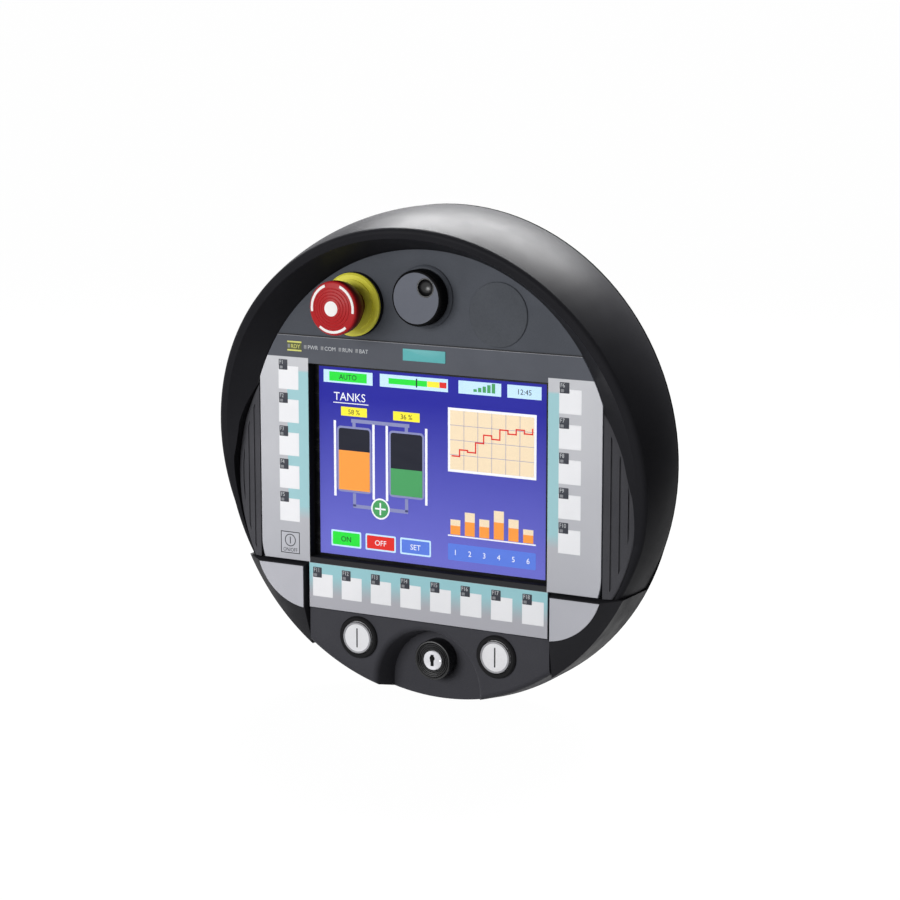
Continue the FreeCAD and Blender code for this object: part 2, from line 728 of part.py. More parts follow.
def make_grip_pads():
    """The pads with upright grooves, trimmed beside the front plate and over the lower seam."""
    inner = Sheet.plate_half_width + Sheet.plate_gap
    seam = Sheet.plate_gap - Sheet.seam_drop
    for label, side in SIDES:
        wedge = grip_wedge(f"grip_bar_{label}", side, as_size(0), Sheet.pad_thickness)
        form = common(
            f"grip_pad_form_{label}", wedge, grip_round(f"grip_edge_{label}", side, Sheet.pad_radius))
        pad_form = rounded(f"grip_pad_round_{label}", form, Sheet.pad_rounding, on_pad_edge)
        trim = block(f"grip_trim_{label}", Sheet.plate_half_width, SPAN, 0, Sheet.drum_top,
                     (inner - Sheet.plate_half_width / 2) * side)
        below = block(f"grip_below_{label}", SPAN, SPAN, 0, Sheet.drum_top, 0, seam - SPAN / 2)
        bars = []
        for number in range(1, 4):
            x = Sheet.plate_half_width + Sheet.pad_pitch * number
            fall = (x - Sheet.plate_half_width) * trig("tan", Sheet.pad_slope)
            top = Sheet.foil_level - fall
            bars.append(block(f"grip_groove_bar_{label}_{number}", Sheet.pad_groove, SPAN,
                              top - Sheet.pad_groove_depth, top + Sheet.pad_thickness, x * side))
        field = grip_round(f"grip_groove_field_{label}", side, Sheet.pad_radius - Sheet.pad_groove_inset)
        grooves = common(f"grip_grooves_{label}", fuse(f"grip_groove_bars_{label}", *bars), field)
        piece(f"grip_pad_{label}", cut(f"grip_pad_{label}", pad_form, trim, below, grooves))


def make_front_plate():
    body = new_body("front_plate")
    outline = sketch_on(body, "plate_outline", Sheet.plate_bottom)
    draw_outline(outline, plate_outline(Sheet.plate_gap))
    pad(body, outline, Sheet.plate_thickness)
    window = sketch_on(body, "plate_window", Sheet.plate_top)
    draw_outline(window, rectangle(Sheet.display_width, Sheet.display_height, 0, Sheet.display_z))
    pocket(body, window, Sheet.plate_thickness * 2)
    holes = sketch_on(body, "plate_device_holes", Sheet.plate_top)
    draw_circle(holes, Sheet.device_hole_radius, -Sheet.estop_offset, Sheet.estop_height)
    draw_circle(holes, Sheet.device_hole_radius, 0, Sheet.handwheel_height)
    draw_circle(holes, Sheet.device_hole_radius, Sheet.blank_offset, Sheet.blank_height)
    pocket(body, holes, Sheet.plate_thickness * 2)
    key_openings(body, Sheet.plate_top, Sheet.key_thickness + Sheet.key_travel)
    piece("front_plate", body)


def make_membrane():
    body = new_body("membrane_overlay")
    outline = sketch_on(body, "foil_outline", Sheet.plate_top)
    draw_outline(outline, foil_outline())
    pad(body, outline, Sheet.foil_thickness)
    window = sketch_on(body, "foil_window", Sheet.foil_level)
    draw_outline(window, rectangle(Sheet.display_width, Sheet.display_height, 0, Sheet.display_z))
    pocket(body, window, Sheet.foil_thickness * 2)
    key_openings(body, Sheet.foil_level, Sheet.foil_thickness * 2)
    piece("membrane_overlay", body)
    for name, x, z in key_places():
        corners = rounded_rectangle(Sheet.key_size, Sheet.key_size, Sheet.key_corner, x, z)
        piece(name, slab(name, corners, Sheet.foil_level - Sheet.key_thickness, Sheet.foil_level))


def make_display():
    gasket = new_body("display_gasket")
    frame = sketch_on(gasket, "gasket_outline", Sheet.screen_level)
    outer_width = Sheet.display_width + Sheet.gasket_margin * 2
    outer_height = Sheet.display_height + Sheet.gasket_margin * 2
    draw_outline(frame, rectangle(outer_width, outer_height, 0, Sheet.display_z))
    draw_outline(frame, rectangle(Sheet.display_width, Sheet.display_height, 0, Sheet.display_z))
    pad(gasket, frame, Sheet.plate_bottom - Sheet.screen_level)
    piece("display_gasket", gasket)
    glass_bottom = Sheet.screen_level - Sheet.glass_thickness
    corners = rounded_rectangle(outer_width, outer_height, Sheet.gasket_margin, 0, Sheet.display_z)
    piece("touch_panel", slab("touch_panel", corners, glass_bottom, Sheet.screen_level))
    width = Sheet.display_width + Sheet.lcd_margin * 2
    height = Sheet.display_height + Sheet.lcd_margin * 2
    lcd_bottom = glass_bottom - Sheet.lcd_thickness
    can = block("lcd_can", width, height, lcd_bottom, glass_bottom, 0, Sheet.display_z)
    step = block("lcd_step", width - Sheet.lcd_margin * 4, height - Sheet.lcd_margin * 4,
                 lcd_bottom - 1, lcd_bottom + Sheet.lcd_thickness / 4, 0, Sheet.display_z)
    piece("lcd_module", cut("lcd_module", can, step))


def make_estop():
    x, z = -Sheet.estop_offset, Sheet.estop_height
    play = Sheet.device_gap
    collar_top = Sheet.plate_top + Sheet.estop_collar_thickness
    cap_bottom = Sheet.estop_top - Sheet.estop_cap_height
    bore = Sheet.estop_stem_radius + play
    sleeve = Sheet.device_hole_radius - play
    block_top = Sheet.plate_bottom - Sheet.nut_thickness - 1
    edge = Sheet.estop_collar_thickness / 6
    collar = Sheet.estop_collar_radius
    flange_top = collar_top - edge
    piece("estop_collar", turned("estop_collar", [
        (bore, block_top),
        (sleeve, block_top),
        (sleeve, Sheet.plate_top),
        (collar, Sheet.plate_top),
        (collar, flange_top - edge),
        (collar - edge, flange_top),
        (collar * 0.8, flange_top),
        (collar * 0.8, collar_top),
        (bore + edge, collar_top),
        (bore, collar_top - edge),
    ], x, z))
    neck = Sheet.estop_stem_radius * 0.6
    spigot_top = cap_bottom + Sheet.estop_cap_height * 0.6
    stem_bottom = block_top + Sheet.estop_travel + play
    piece("estop_plunger", turned("estop_plunger", [
        (0, stem_bottom),
        (Sheet.estop_stem_radius, stem_bottom),
        (Sheet.estop_stem_radius, cap_bottom - play),
        (neck, cap_bottom - play),
        (neck, spigot_top),
        (0, spigot_top),
    ], x, z))
    cap = Sheet.estop_cap_radius
    shoulder = Sheet.estop_cap_height / 10
    face_edge = Sheet.estop_top - Sheet.estop_cap_height / 9
    piece("estop_cap", turned("estop_cap", [
        (0, spigot_top + play),
        (neck + play, spigot_top + play),
        (neck + play, cap_bottom),
        (cap * 0.8, cap_bottom),
        (cap - shoulder / 2, cap_bottom + shoulder * 3),
        (cap, face_edge - shoulder * 3),
        (cap, face_edge - shoulder, shoulder, LEFT_TURN),
        (cap - shoulder, face_edge),
        (cap * 0.3, Sheet.estop_top),
        (0, Sheet.estop_top),
    ], x, z))
    side = Sheet.nut_radius * 1.55
    piece("estop_contact_block", fuse(
        "estop_contact_block",
        block("estop_contact_case", side, side, Sheet.board_level, block_top, x, z),
        block("estop_contact_terminals", side * 0.8, side * 0.5, Sheet.board_level - 3, block_top - 2, x, z),
    ))


def make_handwheel():
    z = Sheet.handwheel_height
    play = Sheet.device_gap
    base_top = Sheet.plate_top + Sheet.handwheel_base_height
    knob_bottom = base_top + Sheet.knob_gap
    sleeve = Sheet.device_hole_radius - play
    nut_bottom = Sheet.plate_bottom - Sheet.nut_thickness
    bore = Sheet.shaft_radius + play
    edge = Sheet.handwheel_base_height / 2
    piece("handwheel_bezel", turned("handwheel_bezel", [
        (bore, nut_bottom),
        (sleeve, nut_bottom),
        (sleeve, Sheet.plate_top),
        (Sheet.handwheel_base_radius, Sheet.plate_top),
        (Sheet.handwheel_base_radius, base_top - edge),
        (Sheet.handwheel_base_radius - edge, base_top),
        (bore, base_top),
    ], 0, z))
    encoder_side = sleeve * 2
    encoder_bottom = nut_bottom - Sheet.device_hole_radius * 1.6
    case = block("encoder_case", encoder_side, encoder_side, encoder_bottom, nut_bottom, 0, z)
    bearing = cylinder("encoder_bearing", bore, encoder_bottom + 3, nut_bottom + 1, 0, z)
    piece("handwheel_encoder", cut("handwheel_encoder", case, bearing))
    shaft_bottom = encoder_bottom + 3 + play
    shaft_top = knob_bottom + Sheet.cup_depth * 0.5
    piece("handwheel_shaft", turned("handwheel_shaft", [
        (0, shaft_bottom),
        (Sheet.shaft_radius, shaft_bottom),
        (Sheet.shaft_radius, shaft_top),
        (0, shaft_top),
    ], 0, z))
    rim = as_size(1.5)
    knob = turned("handwheel_knob_form", [
        (0, shaft_top + Sheet.screw_gap),
        (Sheet.shaft_radius + Sheet.screw_gap, shaft_top + Sheet.screw_gap),
        (Sheet.shaft_radius + Sheet.screw_gap, knob_bottom),
        (Sheet.knob_radius, knob_bottom),
        (Sheet.knob_radius, Sheet.knob_top - rim, rim, LEFT_TURN),
        (Sheet.knob_radius - rim, Sheet.knob_top),
        (0, Sheet.knob_top),
    ], 0, z)
    cup_x = Sheet.cup_offset_x
    cup_z = z + Sheet.cup_offset_z
    well = cylinder("handwheel_cup_well", Sheet.cup_radius + Sheet.screw_gap,
                    Sheet.knob_top - Sheet.cup_depth, Sheet.drum_top, cup_x, cup_z)
    piece("handwheel_knob", cut("handwheel_knob", knob, well))
    bowl = Sheet.cup_radius - Sheet.cup_wall
    floor = Sheet.knob_top - Sheet.cup_depth
    piece("handwheel_finger_cup", turned("handwheel_finger_cup", [
        (0, floor),
        (Sheet.cup_radius, floor),
        (Sheet.cup_radius, Sheet.knob_top),
        (bowl, Sheet.knob_top),
        (bowl * 0.85, floor + Sheet.cup_wall),
        (0, floor + Sheet.cup_wall),
    ], cup_x, cup_z))


def make_blank_plug():
    x, z = Sheet.blank_offset, Sheet.blank_height
    sleeve = Sheet.device_hole_radius - Sheet.device_gap
    nut_bottom = Sheet.plate_bottom - Sheet.nut_thickness
    top = Sheet.plate_top + Sheet.blank_proud
    edge = Sheet.blank_proud / 2
    piece("blank_plug", turned("blank_plug", [
        (0, nut_bottom),
        (sleeve, nut_bottom),
        (sleeve, Sheet.plate_top),
        (Sheet.blank_radius, Sheet.plate_top),
        (Sheet.blank_radius, top - edge),
        (Sheet.blank_radius - edge, top),
        (0, top),
    ], x, z))


def make_device_nuts():
    """The nuts that clamp the emergency stop and the blank plug to the plate."""
    bore = Sheet.device_hole_radius
    bottom, top = Sheet.plate_bottom - Sheet.nut_thickness, Sheet.plate_bottom
    places = (
        ("estop_nut", -Sheet.estop_offset, Sheet.estop_height),
        ("blank_plug_nut", Sheet.blank_offset, Sheet.blank_height),
    )
    nuts = []
    for name, x, z in places:
        nuts.append(turned(name, [
            (bore, bottom),
            (Sheet.nut_radius, bottom),
            (Sheet.nut_radius, top),
            (bore, top),
        ], x, z))
    piece("device_nuts", fuse("device_nuts", *nuts))


def niche_form():
    """The arched niche, open at the bottom, with sloping walls."""
    arch = Sheet.niche_radius
    center = -(Sheet.key_switch_drop + Sheet.niche_center_drop)
    below = Sheet.chin_bottom - arch
    body = new_body("chin_niche")
    sketch = sketch_on(body, "niche_outline", Sheet.niche_floor)
    draw_outline(sketch, [
        (arch, center, arch, LEFT_TURN),
        (0, center + arch, arch, LEFT_TURN),
        (-arch, center),
        (-arch, below),
        (arch, below),
    ])
    pad(body, sketch, Sheet.foil_level + Sheet.plate_thickness - Sheet.niche_floor, Sheet.niche_slope)
    return body


def on_niche_edge(edge):
    """True for the edge where the niche opens in the face of the chin."""
    center = Sheet.key_switch_drop.value + Sheet.niche_center_drop.value
    rise = Sheet.chin_level.value - Sheet.niche_floor.value
    mouth = Sheet.niche_radius.value + rise * math.tan(math.radians(Sheet.niche_slope.value))
    first, last = edge.ParameterRange
    points = [edge.valueAt(first + (last - first) * share) for share in (0.1, 0.5, 0.9)]
    level = all(abs(-p.y - Sheet.chin_level.value) < 0.01 for p in points)
    return level and all(abs(math.hypot(p.x, max(p.z + center, 0)) - mouth) < 0.1 for p in points)


def make_chin():
    form = turned("chin_form", [
        (0, Sheet.front_base),
        (Sheet.lower_radius, Sheet.front_base),
        (Sheet.lower_radius, Sheet.chin_draft_level),
        (Sheet.chin_front_radius, Sheet.chin_level - Sheet.chin_rounding, Sheet.chin_rounding, LEFT_TURN),
        (Sheet.chin_front_radius - Sheet.chin_rounding, Sheet.chin_level),
        (0, Sheet.chin_level),
    ], 0, Sheet.lower_z)
    width = Sheet.row_half_width * 2
    height = Sheet.chin_z - Sheet.chin_bottom
    span = block("chin_span", width, height, 0, Sheet.chin_level, 0, Sheet.chin_z - height / 2)
    ledge_low = Sheet.plate_bottom - Sheet.ring_wall
    ledge = block("chin_ledge", width - Sheet.ring_wall * 2, Sheet.plate_ledge * 2, ledge_low,
                  Sheet.plate_bottom, 0, Sheet.chin_z)
    notched = cut("chin_notched", span, niche_form())
    face = rounded("chin_niche_edge", notched, Sheet.niche_rounding, on_niche_edge)
    solid = fuse("chin_solid", common("chin_outer", form, face), ledge)
    hollow = common(
        "chin_hollow",
        lower_form("chin_core", Sheet.chin_wall, Sheet.front_base, Sheet.chin_hollow_top),
        block("chin_core_span", width - Sheet.chin_wall * 2, SPAN, 0, SPAN, 0,
              Sheet.chin_z + Sheet.plate_ledge * 2 - SPAN / 2),
    )
    bosses = chin_bosses("chin_boss", Sheet.boss_radius, Sheet.front_base, Sheet.chin_hollow_top)
    tools = [cut("chin_hollow_round_bosses", hollow, *bosses)]
    for label, side in SIDES:
        tools.append(cylinder(f"chin_button_hole_{label}", Sheet.device_hole_radius, Sheet.front_base,
                              SPAN, Sheet.pushbutton_offset * side, -Sheet.pushbutton_drop))
    tools.append(cylinder("chin_key_hole", Sheet.key_collar_radius - 2, Sheet.front_base, SPAN, 0,
                          -Sheet.key_switch_drop))
    hole = Sheet.screw_radius + Sheet.screw_gap
    depth = Sheet.front_base + Sheet.boss_reach + Sheet.screw_gap
    tools += chin_bosses("chin_screw_hole", hole, Sheet.rear_top, depth)
    piece("chin_housing", cut("chin_housing", solid, *tools))


def corner_outline(side, x, z, center_x, center_z, radius):
    """Two straight edges that meet at (x, z) and a round outer edge."""
    drop = center_z - leg(radius, x - center_x)
    reach = center_x + leg(radius, z - center_z)
    turn = LEFT_TURN if side > 0 else RIGHT_TURN
    return [
        (x * side, z),
        (x * side, drop, radius, turn),
        (reach * side, z),
    ]


def make_corner_covers():
    inlays = []
    for label, side in SIDES:
        name = f"corner_cover_{label}"
        body = new_body(name)
        seat = (Sheet.row_half_width + Sheet.plate_gap, -(Sheet.seam_drop + Sheet.plate_gap))
        base = sketch_on(body, f"{name}_base", Sheet.front_base)
        draw_outline(base, corner_outline(side, *seat, as_size(0), Sheet.lower_z, Sheet.lower_radius))
        ridge = sketch_on(body, f"{name}_ridge", Sheet.ridge_level)
        draw_outline(ridge, corner_outline(side, *seat, as_size(0), Sheet.lower_z, Sheet.ridge_radius))
        top = sketch_on(body, f"{name}_top", Sheet.cover_top)
        inlay = (Sheet.inlay_center_x, -Sheet.inlay_center_drop)
        draw_outline(top, corner_outline(
            side, Sheet.cover_x, Sheet.cover_z, *inlay, Sheet.inlay_radius + Sheet.inlay_margin))
        loft = body.newObject("PartDesign::AdditiveLoft", f"{name}_loft")
        loft.Profile = base
        loft.Sections = [ridge, top]
        loft.Ruled = True
        piece(name, body)
        corners = corner_outline(side, Sheet.cover_x + Sheet.inlay_margin, Sheet.cover_z - Sheet.inlay_margin,
                                 *inlay, Sheet.inlay_radius)
        inlay_top = Sheet.cover_top + Sheet.inlay_thickness
        inlays.append(slab(f"corner_inlay_{label}", corners, Sheet.cover_top, inlay_top))
    piece("corner_inlays", fuse("corner_inlays", *inlays))


def make_pushbuttons():
    z = -Sheet.pushbutton_drop
    play = Sheet.device_gap
    bezel_top = Sheet.chin_level + Sheet.bezel_height
    sleeve = Sheet.device_hole_radius - play
    bore = Sheet.lens_radius + play
    lens_top = bezel_top + Sheet.lens_proud
    lens_bottom = bezel_top - Sheet.lens_travel * 4
    sleeve_bottom = lens_bottom - Sheet.lens_travel - play
    edge = Sheet.bezel_height / 2
    switches = []
    for label, side in SIDES:
        x = Sheet.pushbutton_offset * side
        piece(f"pushbutton_bezel_{label}", turned(f"pushbutton_bezel_{label}", [
            (bore, sleeve_bottom),
            (sleeve, sleeve_bottom),
            (sleeve, Sheet.chin_level),
            (Sheet.bezel_radius, Sheet.chin_level),
            (Sheet.bezel_radius, bezel_top - edge),
            (Sheet.bezel_radius - edge, bezel_top),
            (bore, bezel_top),
        ], x, z))
        piece(f"pushbutton_lens_{label}", turned(f"pushbutton_lens_{label}", [
            (0, lens_bottom),
            (Sheet.lens_radius, lens_bottom),
            (Sheet.lens_radius, lens_top - edge),
            (Sheet.lens_radius - edge, lens_top),
            (0, lens_top),
        ], x, z))
        switches.append(cylinder(f"pushbutton_switch_{label}", sleeve - play, Sheet.board_level, sleeve_bottom,
                                 x, z))
    piece("pushbutton_switches", fuse("pushbutton_switches", *switches))


def make_key_switch():
    z = -Sheet.key_switch_drop
    play = Sheet.device_gap
    bore = Sheet.key_barrel_radius + play
    sleeve = Sheet.key_collar_radius - 2 - play
    tail = Sheet.chin_hollow_top - Sheet.nut_thickness
    top = Sheet.key_switch_top
    ring = Sheet.key_collar_radius
    step = as_size(1.0)
    piece("key_switch_collar", turned("key_switch_collar", [
        (bore, tail),
        (sleeve, tail),
        (sleeve, Sheet.niche_floor),
        (ring, Sheet.niche_floor),
        (ring, top - step),
        (ring - step, top),
        (ring - step * 2.2, top),
        (ring - step * 2.8, top - step),
        (ring - step * 3.6, top - step),
        (ring - step * 4.2, top),
        (bore, top),
    ], 0, z))
    barrel = turned("key_barrel_form", [
        (0, tail),
        (Sheet.key_barrel_radius, tail),
        (Sheet.key_barrel_radius, top - step / 2),
        (Sheet.key_barrel_radius - step / 2, top),
        (0, top),
    ], 0, z)
    slot = block("key_slot", Sheet.key_slot_width, Sheet.key_slot_length, top - Sheet.key_slot_length,
                 SPAN, 0, z)
    piece("key_switch_barrel", cut("key_switch_barrel", barrel, slot))
    side = sleeve * 2
    piece("key_switch_module", fuse(
        "key_switch_module",
        block("key_module_case", side, side, tail - play - side * 0.6, tail - play, 0, z),
        block("key_module_terminals", side * 0.5, side * 0.8, tail - side * 0.75, tail - play * 2, 0, z),
    ))


def spine_form(name, shrink, low, high):
    """The raised middle of the rear: a tall bar with round ends."""
    bar = block(f"{name}_bar", (Sheet.spine_half_width - shrink) * 2, SPAN, low, high, 0, 0)
    return common(name, bar, cylinder(f"{name}_ends", Sheet.spine_radius - shrink, low, high))


def rear_cones(name, shrink, low, high):
    """The two rounds of the rear, drawn in towards the back, upper one first."""
    draw_in = Sheet.back_draw_in
    return [
        cone(f"{name}_upper", Sheet.rim_radius - draw_in - shrink, Sheet.rim_radius - shrink, low, high),
        cone(f"{name}_lower", Sheet.lower_radius - draw_in - shrink, Sheet.lower_radius - shrink, low, high,
             0, Sheet.lower_z),
    ]


def at_level(level, tolerance=0.01):
    """Chooses the edges that lie at one level."""
    def chosen(edge):
        box = edge.BoundBox
        return abs(box.YMin + level.value) < tolerance and abs(box.YMax + level.value) < tolerance
    return chosen


def make_rear_shell():
    cones = rear_cones("rear_cone", as_size(0), Sheet.back_level, Sheet.rear_top)
    radius, lower_radius, drop = Sheet.rim_radius, Sheet.lower_radius, Sheet.lower_z
    meet_z = (radius * radius - lower_radius * lower_radius + drop * drop) / (drop * 2)
    rounds = []
    for form, side in zip(cones, (1, -1)):
        softened = rounded(f"{form.Name}_round", form, Sheet.back_rounding, at_level(Sheet.back_level))
        part = block(f"{form.Name}_side", SPAN, SPAN, 0, SPAN, 0, meet_z + SPAN / 2 * side)
        rounds.append(common(f"{form.Name}_part", softened, part))
    spine = rounded("rear_spine", spine_form("rear_spine_form", as_size(0), as_size(0), Sheet.cavity_floor),
                    Sheet.spine_rounding, at_level(as_size(0)))
    posts = [
        cylinder(f"board_post_{number}", Sheet.post_radius, Sheet.back_level + 1, Sheet.board_level,
                 Sheet.post_offset_x * a, -Sheet.board_drop + Sheet.post_offset_z * b)
        for number, (a, b) in enumerate(((-1, -1), (1, -1), (1, 1), (-1, 1)), start=1)
    ]
    cavity_cones = rear_cones("rear_cavity", Sheet.shell_wall, Sheet.cavity_floor, Sheet.rear_top)
    cavity = fuse("rear_cavity", *cavity_cones)
    bosses = ring_bosses("rear_boss", Sheet.boss_radius, Sheet.back_level, Sheet.rear_top)
    bosses += chin_bosses("rear_chin_boss", Sheet.boss_radius, Sheet.back_level, Sheet.rear_top)
    hollow = cut("rear_hollow_round_bosses", cavity, *bosses)
    tools = [hollow]
    tools.append(block("battery_bay", Sheet.bay_width, Sheet.bay_height, -1, Sheet.bay_top))
    recess_play = Sheet.battery_gap * 2
    corners = rounded_rectangle(
        Sheet.battery_cover_width + recess_play, Sheet.battery_cover_height + recess_play,
        Sheet.battery_cover_corner)
    tools.append(slab("battery_cover_recess", corners, as_size(-1), Sheet.battery_cover_thickness))
    for label, side in SIDES:
        play = Sheet.enable_gap * 2
        corners = rounded_rectangle(Sheet.enable_width + play, Sheet.enable_length + play,
                                    Sheet.enable_width / 4, Sheet.enable_offset * side)
        tools.append(slab(f"enable_opening_{label}", corners, as_size(0), Sheet.rear_top))
    head = Sheet.screw_head_radius + Sheet.screw_gap * 3
    shank = Sheet.screw_radius + Sheet.screw_gap
    for places in (ring_bosses, chin_bosses):
        tools += places(f"rear_head_{places.__name__}", head, as_size(0), Sheet.boss_seat)
        tools += places(f"rear_shank_{places.__name__}", shank, as_size(0), SPAN)
    for number, side in enumerate((-1, 1), start=1):
        tools.append(cylinder(f"cover_screw_hole_{number}", shank, 0, Sheet.bay_top, 0,
                              Sheet.cover_screw_height * side))
    solid = cut("rear_shell_form", fuse("rear_solid", *rounds, spine), *tools)
    posts_with_holes = cut(
        "board_posts", fuse("board_post_group", *posts),
        *[cylinder(f"board_post_hole_{n}", shank, Sheet.cavity_floor, SPAN, Sheet.post_offset_x * a,
                   -Sheet.board_drop + Sheet.post_offset_z * b)
          for n, (a, b) in enumerate(((-1, -1), (1, -1), (1, 1), (-1, 1)), start=1)])
    piece("rear_shell", fuse("rear_shell", solid, posts_with_holes))


def make_seal():
    low, high = Sheet.rear_top, Sheet.front_base
    outer = fuse(
        "seal_outer",
        cylinder("seal_upper", Sheet.rim_radius - Sheet.seal_inset, low, high),
        lower_form("seal_lower", Sheet.seal_inset, low, high),
    )
    inset = Sheet.seal_inset + Sheet.seal_width
    inner = fuse(
        "seal_inner",
        cylinder("seal_upper_inside", Sheet.rim_radius - inset, low, high),
        lower_form("seal_lower_inside", inset, low, high),
    )
    piece("housing_seal", cut("housing_seal", outer, inner))


def make_battery():
    corners = rounded_rectangle(Sheet.battery_cover_width, Sheet.battery_cover_height,
                                Sheet.battery_cover_corner)
    plate = slab("battery_cover_plate", corners, as_size(0), Sheet.battery_cover_thickness)
    tools = []
    head_top = Sheet.screw_head_height * 0.8
    for number, side in enumerate((-1, 1), start=1):
        z = Sheet.cover_screw_height * side
        tools.append(cylinder(f"cover_head_hole_{number}", Sheet.screw_head_radius + Sheet.screw_gap * 3,
                              -1, head_top, 0, z))
        tools.append(cylinder(f"cover_shank_hole_{number}", Sheet.screw_radius + Sheet.screw_gap, -1,
                              SPAN, 0, z))
    groove = block("cover_thumb_groove", Sheet.battery_cover_width / 3, Sheet.screw_head_radius, -1, 1.2, 0,
                   -Sheet.battery_cover_height / 4)
    piece("battery_cover", cut("battery_cover", plate, groove, *tools))
    low = Sheet.battery_cover_thickness + Sheet.battery_gap
    play = Sheet.battery_gap * 2
    corners = rounded_rectangle(Sheet.bay_width - play, Sheet.bay_height - play, as_size(2.0))
    piece("battery_pack", slab("battery_pack", corners, low, Sheet.bay_top - Sheet.battery_gap))


def screw(name, head_low, head_high, tip, x, z):
    """A round-headed screw with a cross slot, pointing to the front."""
    head = cylinder(f"{name}_head", Sheet.screw_head_radius, head_low, head_high, x, z)
    shank = cylinder(f"{name}_shank", Sheet.screw_radius, head_low, tip, x, z)
    width, length = Sheet.screw_radius / 2, Sheet.screw_radius * 1.6
    depth = as_size(head_low) + Sheet.screw_head_height / 3
    slots = [block(f"{name}_slot_{n}", a, b, as_size(head_low) - 1, depth, x, z)
             for n, (a, b) in enumerate(((width, length), (length, width)), start=1)]
    return cut(name, fuse(f"{name}_form", head, shank), *slots)


def make_rear_screws():
    """The screws that hold the rear shell to the front, and those of the battery cover."""
    places = []
    for angle in RING_SCREW_ANGLES:
        places.append((Sheet.boss_circle * math.cos(math.radians(angle)),
                       Sheet.boss_circle * math.sin(math.radians(angle))))
    for label, side in SIDES:
        places.append((Sheet.chin_boss_offset * side, -Sheet.chin_boss_drop))
    screws = [
        screw(f"housing_screw_{number}", Sheet.boss_seat - Sheet.screw_head_height, Sheet.boss_seat,
              Sheet.front_base + Sheet.boss_reach, x, z)
        for number, (x, z) in enumerate(places, start=1)
    ]
    for number, side in enumerate((-1, 1), start=1):
        screws.append(screw(f"battery_cover_screw_{number}", as_size(0.3), Sheet.screw_head_height * 0.8,
                            Sheet.battery_cover_thickness + Sheet.boss_reach * 0.6, 0,
                            Sheet.cover_screw_height * side))
    piece("rear_screws", fuse("rear_screws", *screws))


def make_enabling_buttons():
    flange_low = Sheet.cavity_floor + Sheet.enable_gap
    flange_high = flange_low + Sheet.enable_flange
    switches = []
    for label, side in SIDES:
        x = Sheet.enable_offset * side
        name = f"enabling_button_{label}"
        body = new_body(name)
        flange = sketch_on(body, f"{name}_flange", flange_low)
        grow = Sheet.enable_flange * 2
        draw_outline(flange, rectangle(Sheet.enable_width + grow, Sheet.enable_length + grow, x))
        pad(body, flange, Sheet.enable_flange)
        bar = sketch_on(body, f"{name}_bar", Sheet.enable_face)
        corner = Sheet.enable_width / 4
        draw_outline(bar, rounded_rectangle(Sheet.enable_width, Sheet.enable_length, corner, x))
        pad(body, bar, flange_low - Sheet.enable_face)
        doc.recompute()
        faces = at_level(Sheet.enable_face)
        names = [f"Edge{n}" for n, edge in enumerate(body.Shape.Edges, start=1) if faces(edge)]
        bare = body.Tip
        rounding = body.newObject("PartDesign::Fillet", f"{name}_rounding")
        rounding.Base = (bare, names)
        bind(rounding, "Radius", Sheet.enable_width / 6)
        piece(name, body)
        switch_low = flange_high + Sheet.enable_travel + Sheet.enable_gap
        switches.append(block(f"enabling_switch_{label}", Sheet.enable_width * 0.7, Sheet.enable_length / 3,
                              switch_low, Sheet.board_level, x))
    piece("enabling_switches", fuse("enabling_switches", *switches))


def make_board():
    z = -Sheet.board_drop
    low, high = Sheet.board_level, Sheet.board_level + Sheet.board_thickness
    corners = rounded_rectangle(Sheet.board_width, Sheet.board_height, as_size(3.0), 0, z)
    board = slab("board_panel", corners, low, high)
    hole = Sheet.screw_radius + Sheet.screw_gap
    holes = []
    screws = []
    for number, (a, b) in enumerate(((-1, -1), (1, -1), (1, 1), (-1, 1)), start=1):
        x = Sheet.post_offset_x * a
        post_z = z + Sheet.post_offset_z * b
        holes.append(cylinder(f"board_hole_{number}", hole, 0, SPAN, x, post_z))
        head = cylinder(f"board_screw_head_{number}", Sheet.screw_head_radius, high,
                        high + Sheet.screw_head_height, x, post_z)
        shank = cylinder(f"board_screw_shank_{number}", Sheet.screw_radius, low - Sheet.boss_reach, high,
                         x, post_z)
        screws.append(fuse(f"board_screw_{number}", head, shank))
    chips = [
        block("board_processor", 32, 32, high - 0.2, high + 3, -30, z + 12),
        block("board_memory", 24, 14, high - 0.2, high + 1.4, 12, z + 14),
        block("board_radio_module", 38, 26, high - 0.2, high + 3.4, 58, z - 18),
        block("board_display_socket", 44, 6, high - 0.2, high + 5, -8, z - 42),
        block("board_supply_coil", 14, 14, high - 0.2, high + 7, -66, z - 20),
    ]
    piece("main_board", fuse("main_board", cut("board_bare", board, *holes), *chips))
    piece("board_screws", fuse("board_screws", *screws))


def check_and_write():
    doc.recompute()
    failed = [obj.Name for obj in doc.Objects if {"Invalid", "Error"} & set(obj.State)]
    for obj in pieces:
        if obj.Shape.isNull() or not obj.Shape.isValid() or not obj.Shape.Solids:
            failed.append(obj.Label)
    if failed:
        raise RuntimeError(f"failed: {failed}")
    os.makedirs("parts", exist_ok=True)
    for obj in pieces:
        obj.Shape.exportStep(f"parts/{obj.Label}.step")


def main():
    read_sizes()
    derived_sizes()
    make_front_ring()
    make_grip_pads()
    make_front_plate()
    make_membrane()
    make_display()
    make_estop()
    make_handwheel()
    make_blank_plug()
    make_device_nuts()
    make_chin()
    make_corner_covers()
    make_pushbuttons()
    make_key_switch()
    make_rear_shell()
    make_seal()
    make_battery()
    make_rear_screws()
    make_enabling_buttons()
    make_board()
    check_and_write()


main()
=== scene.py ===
import math

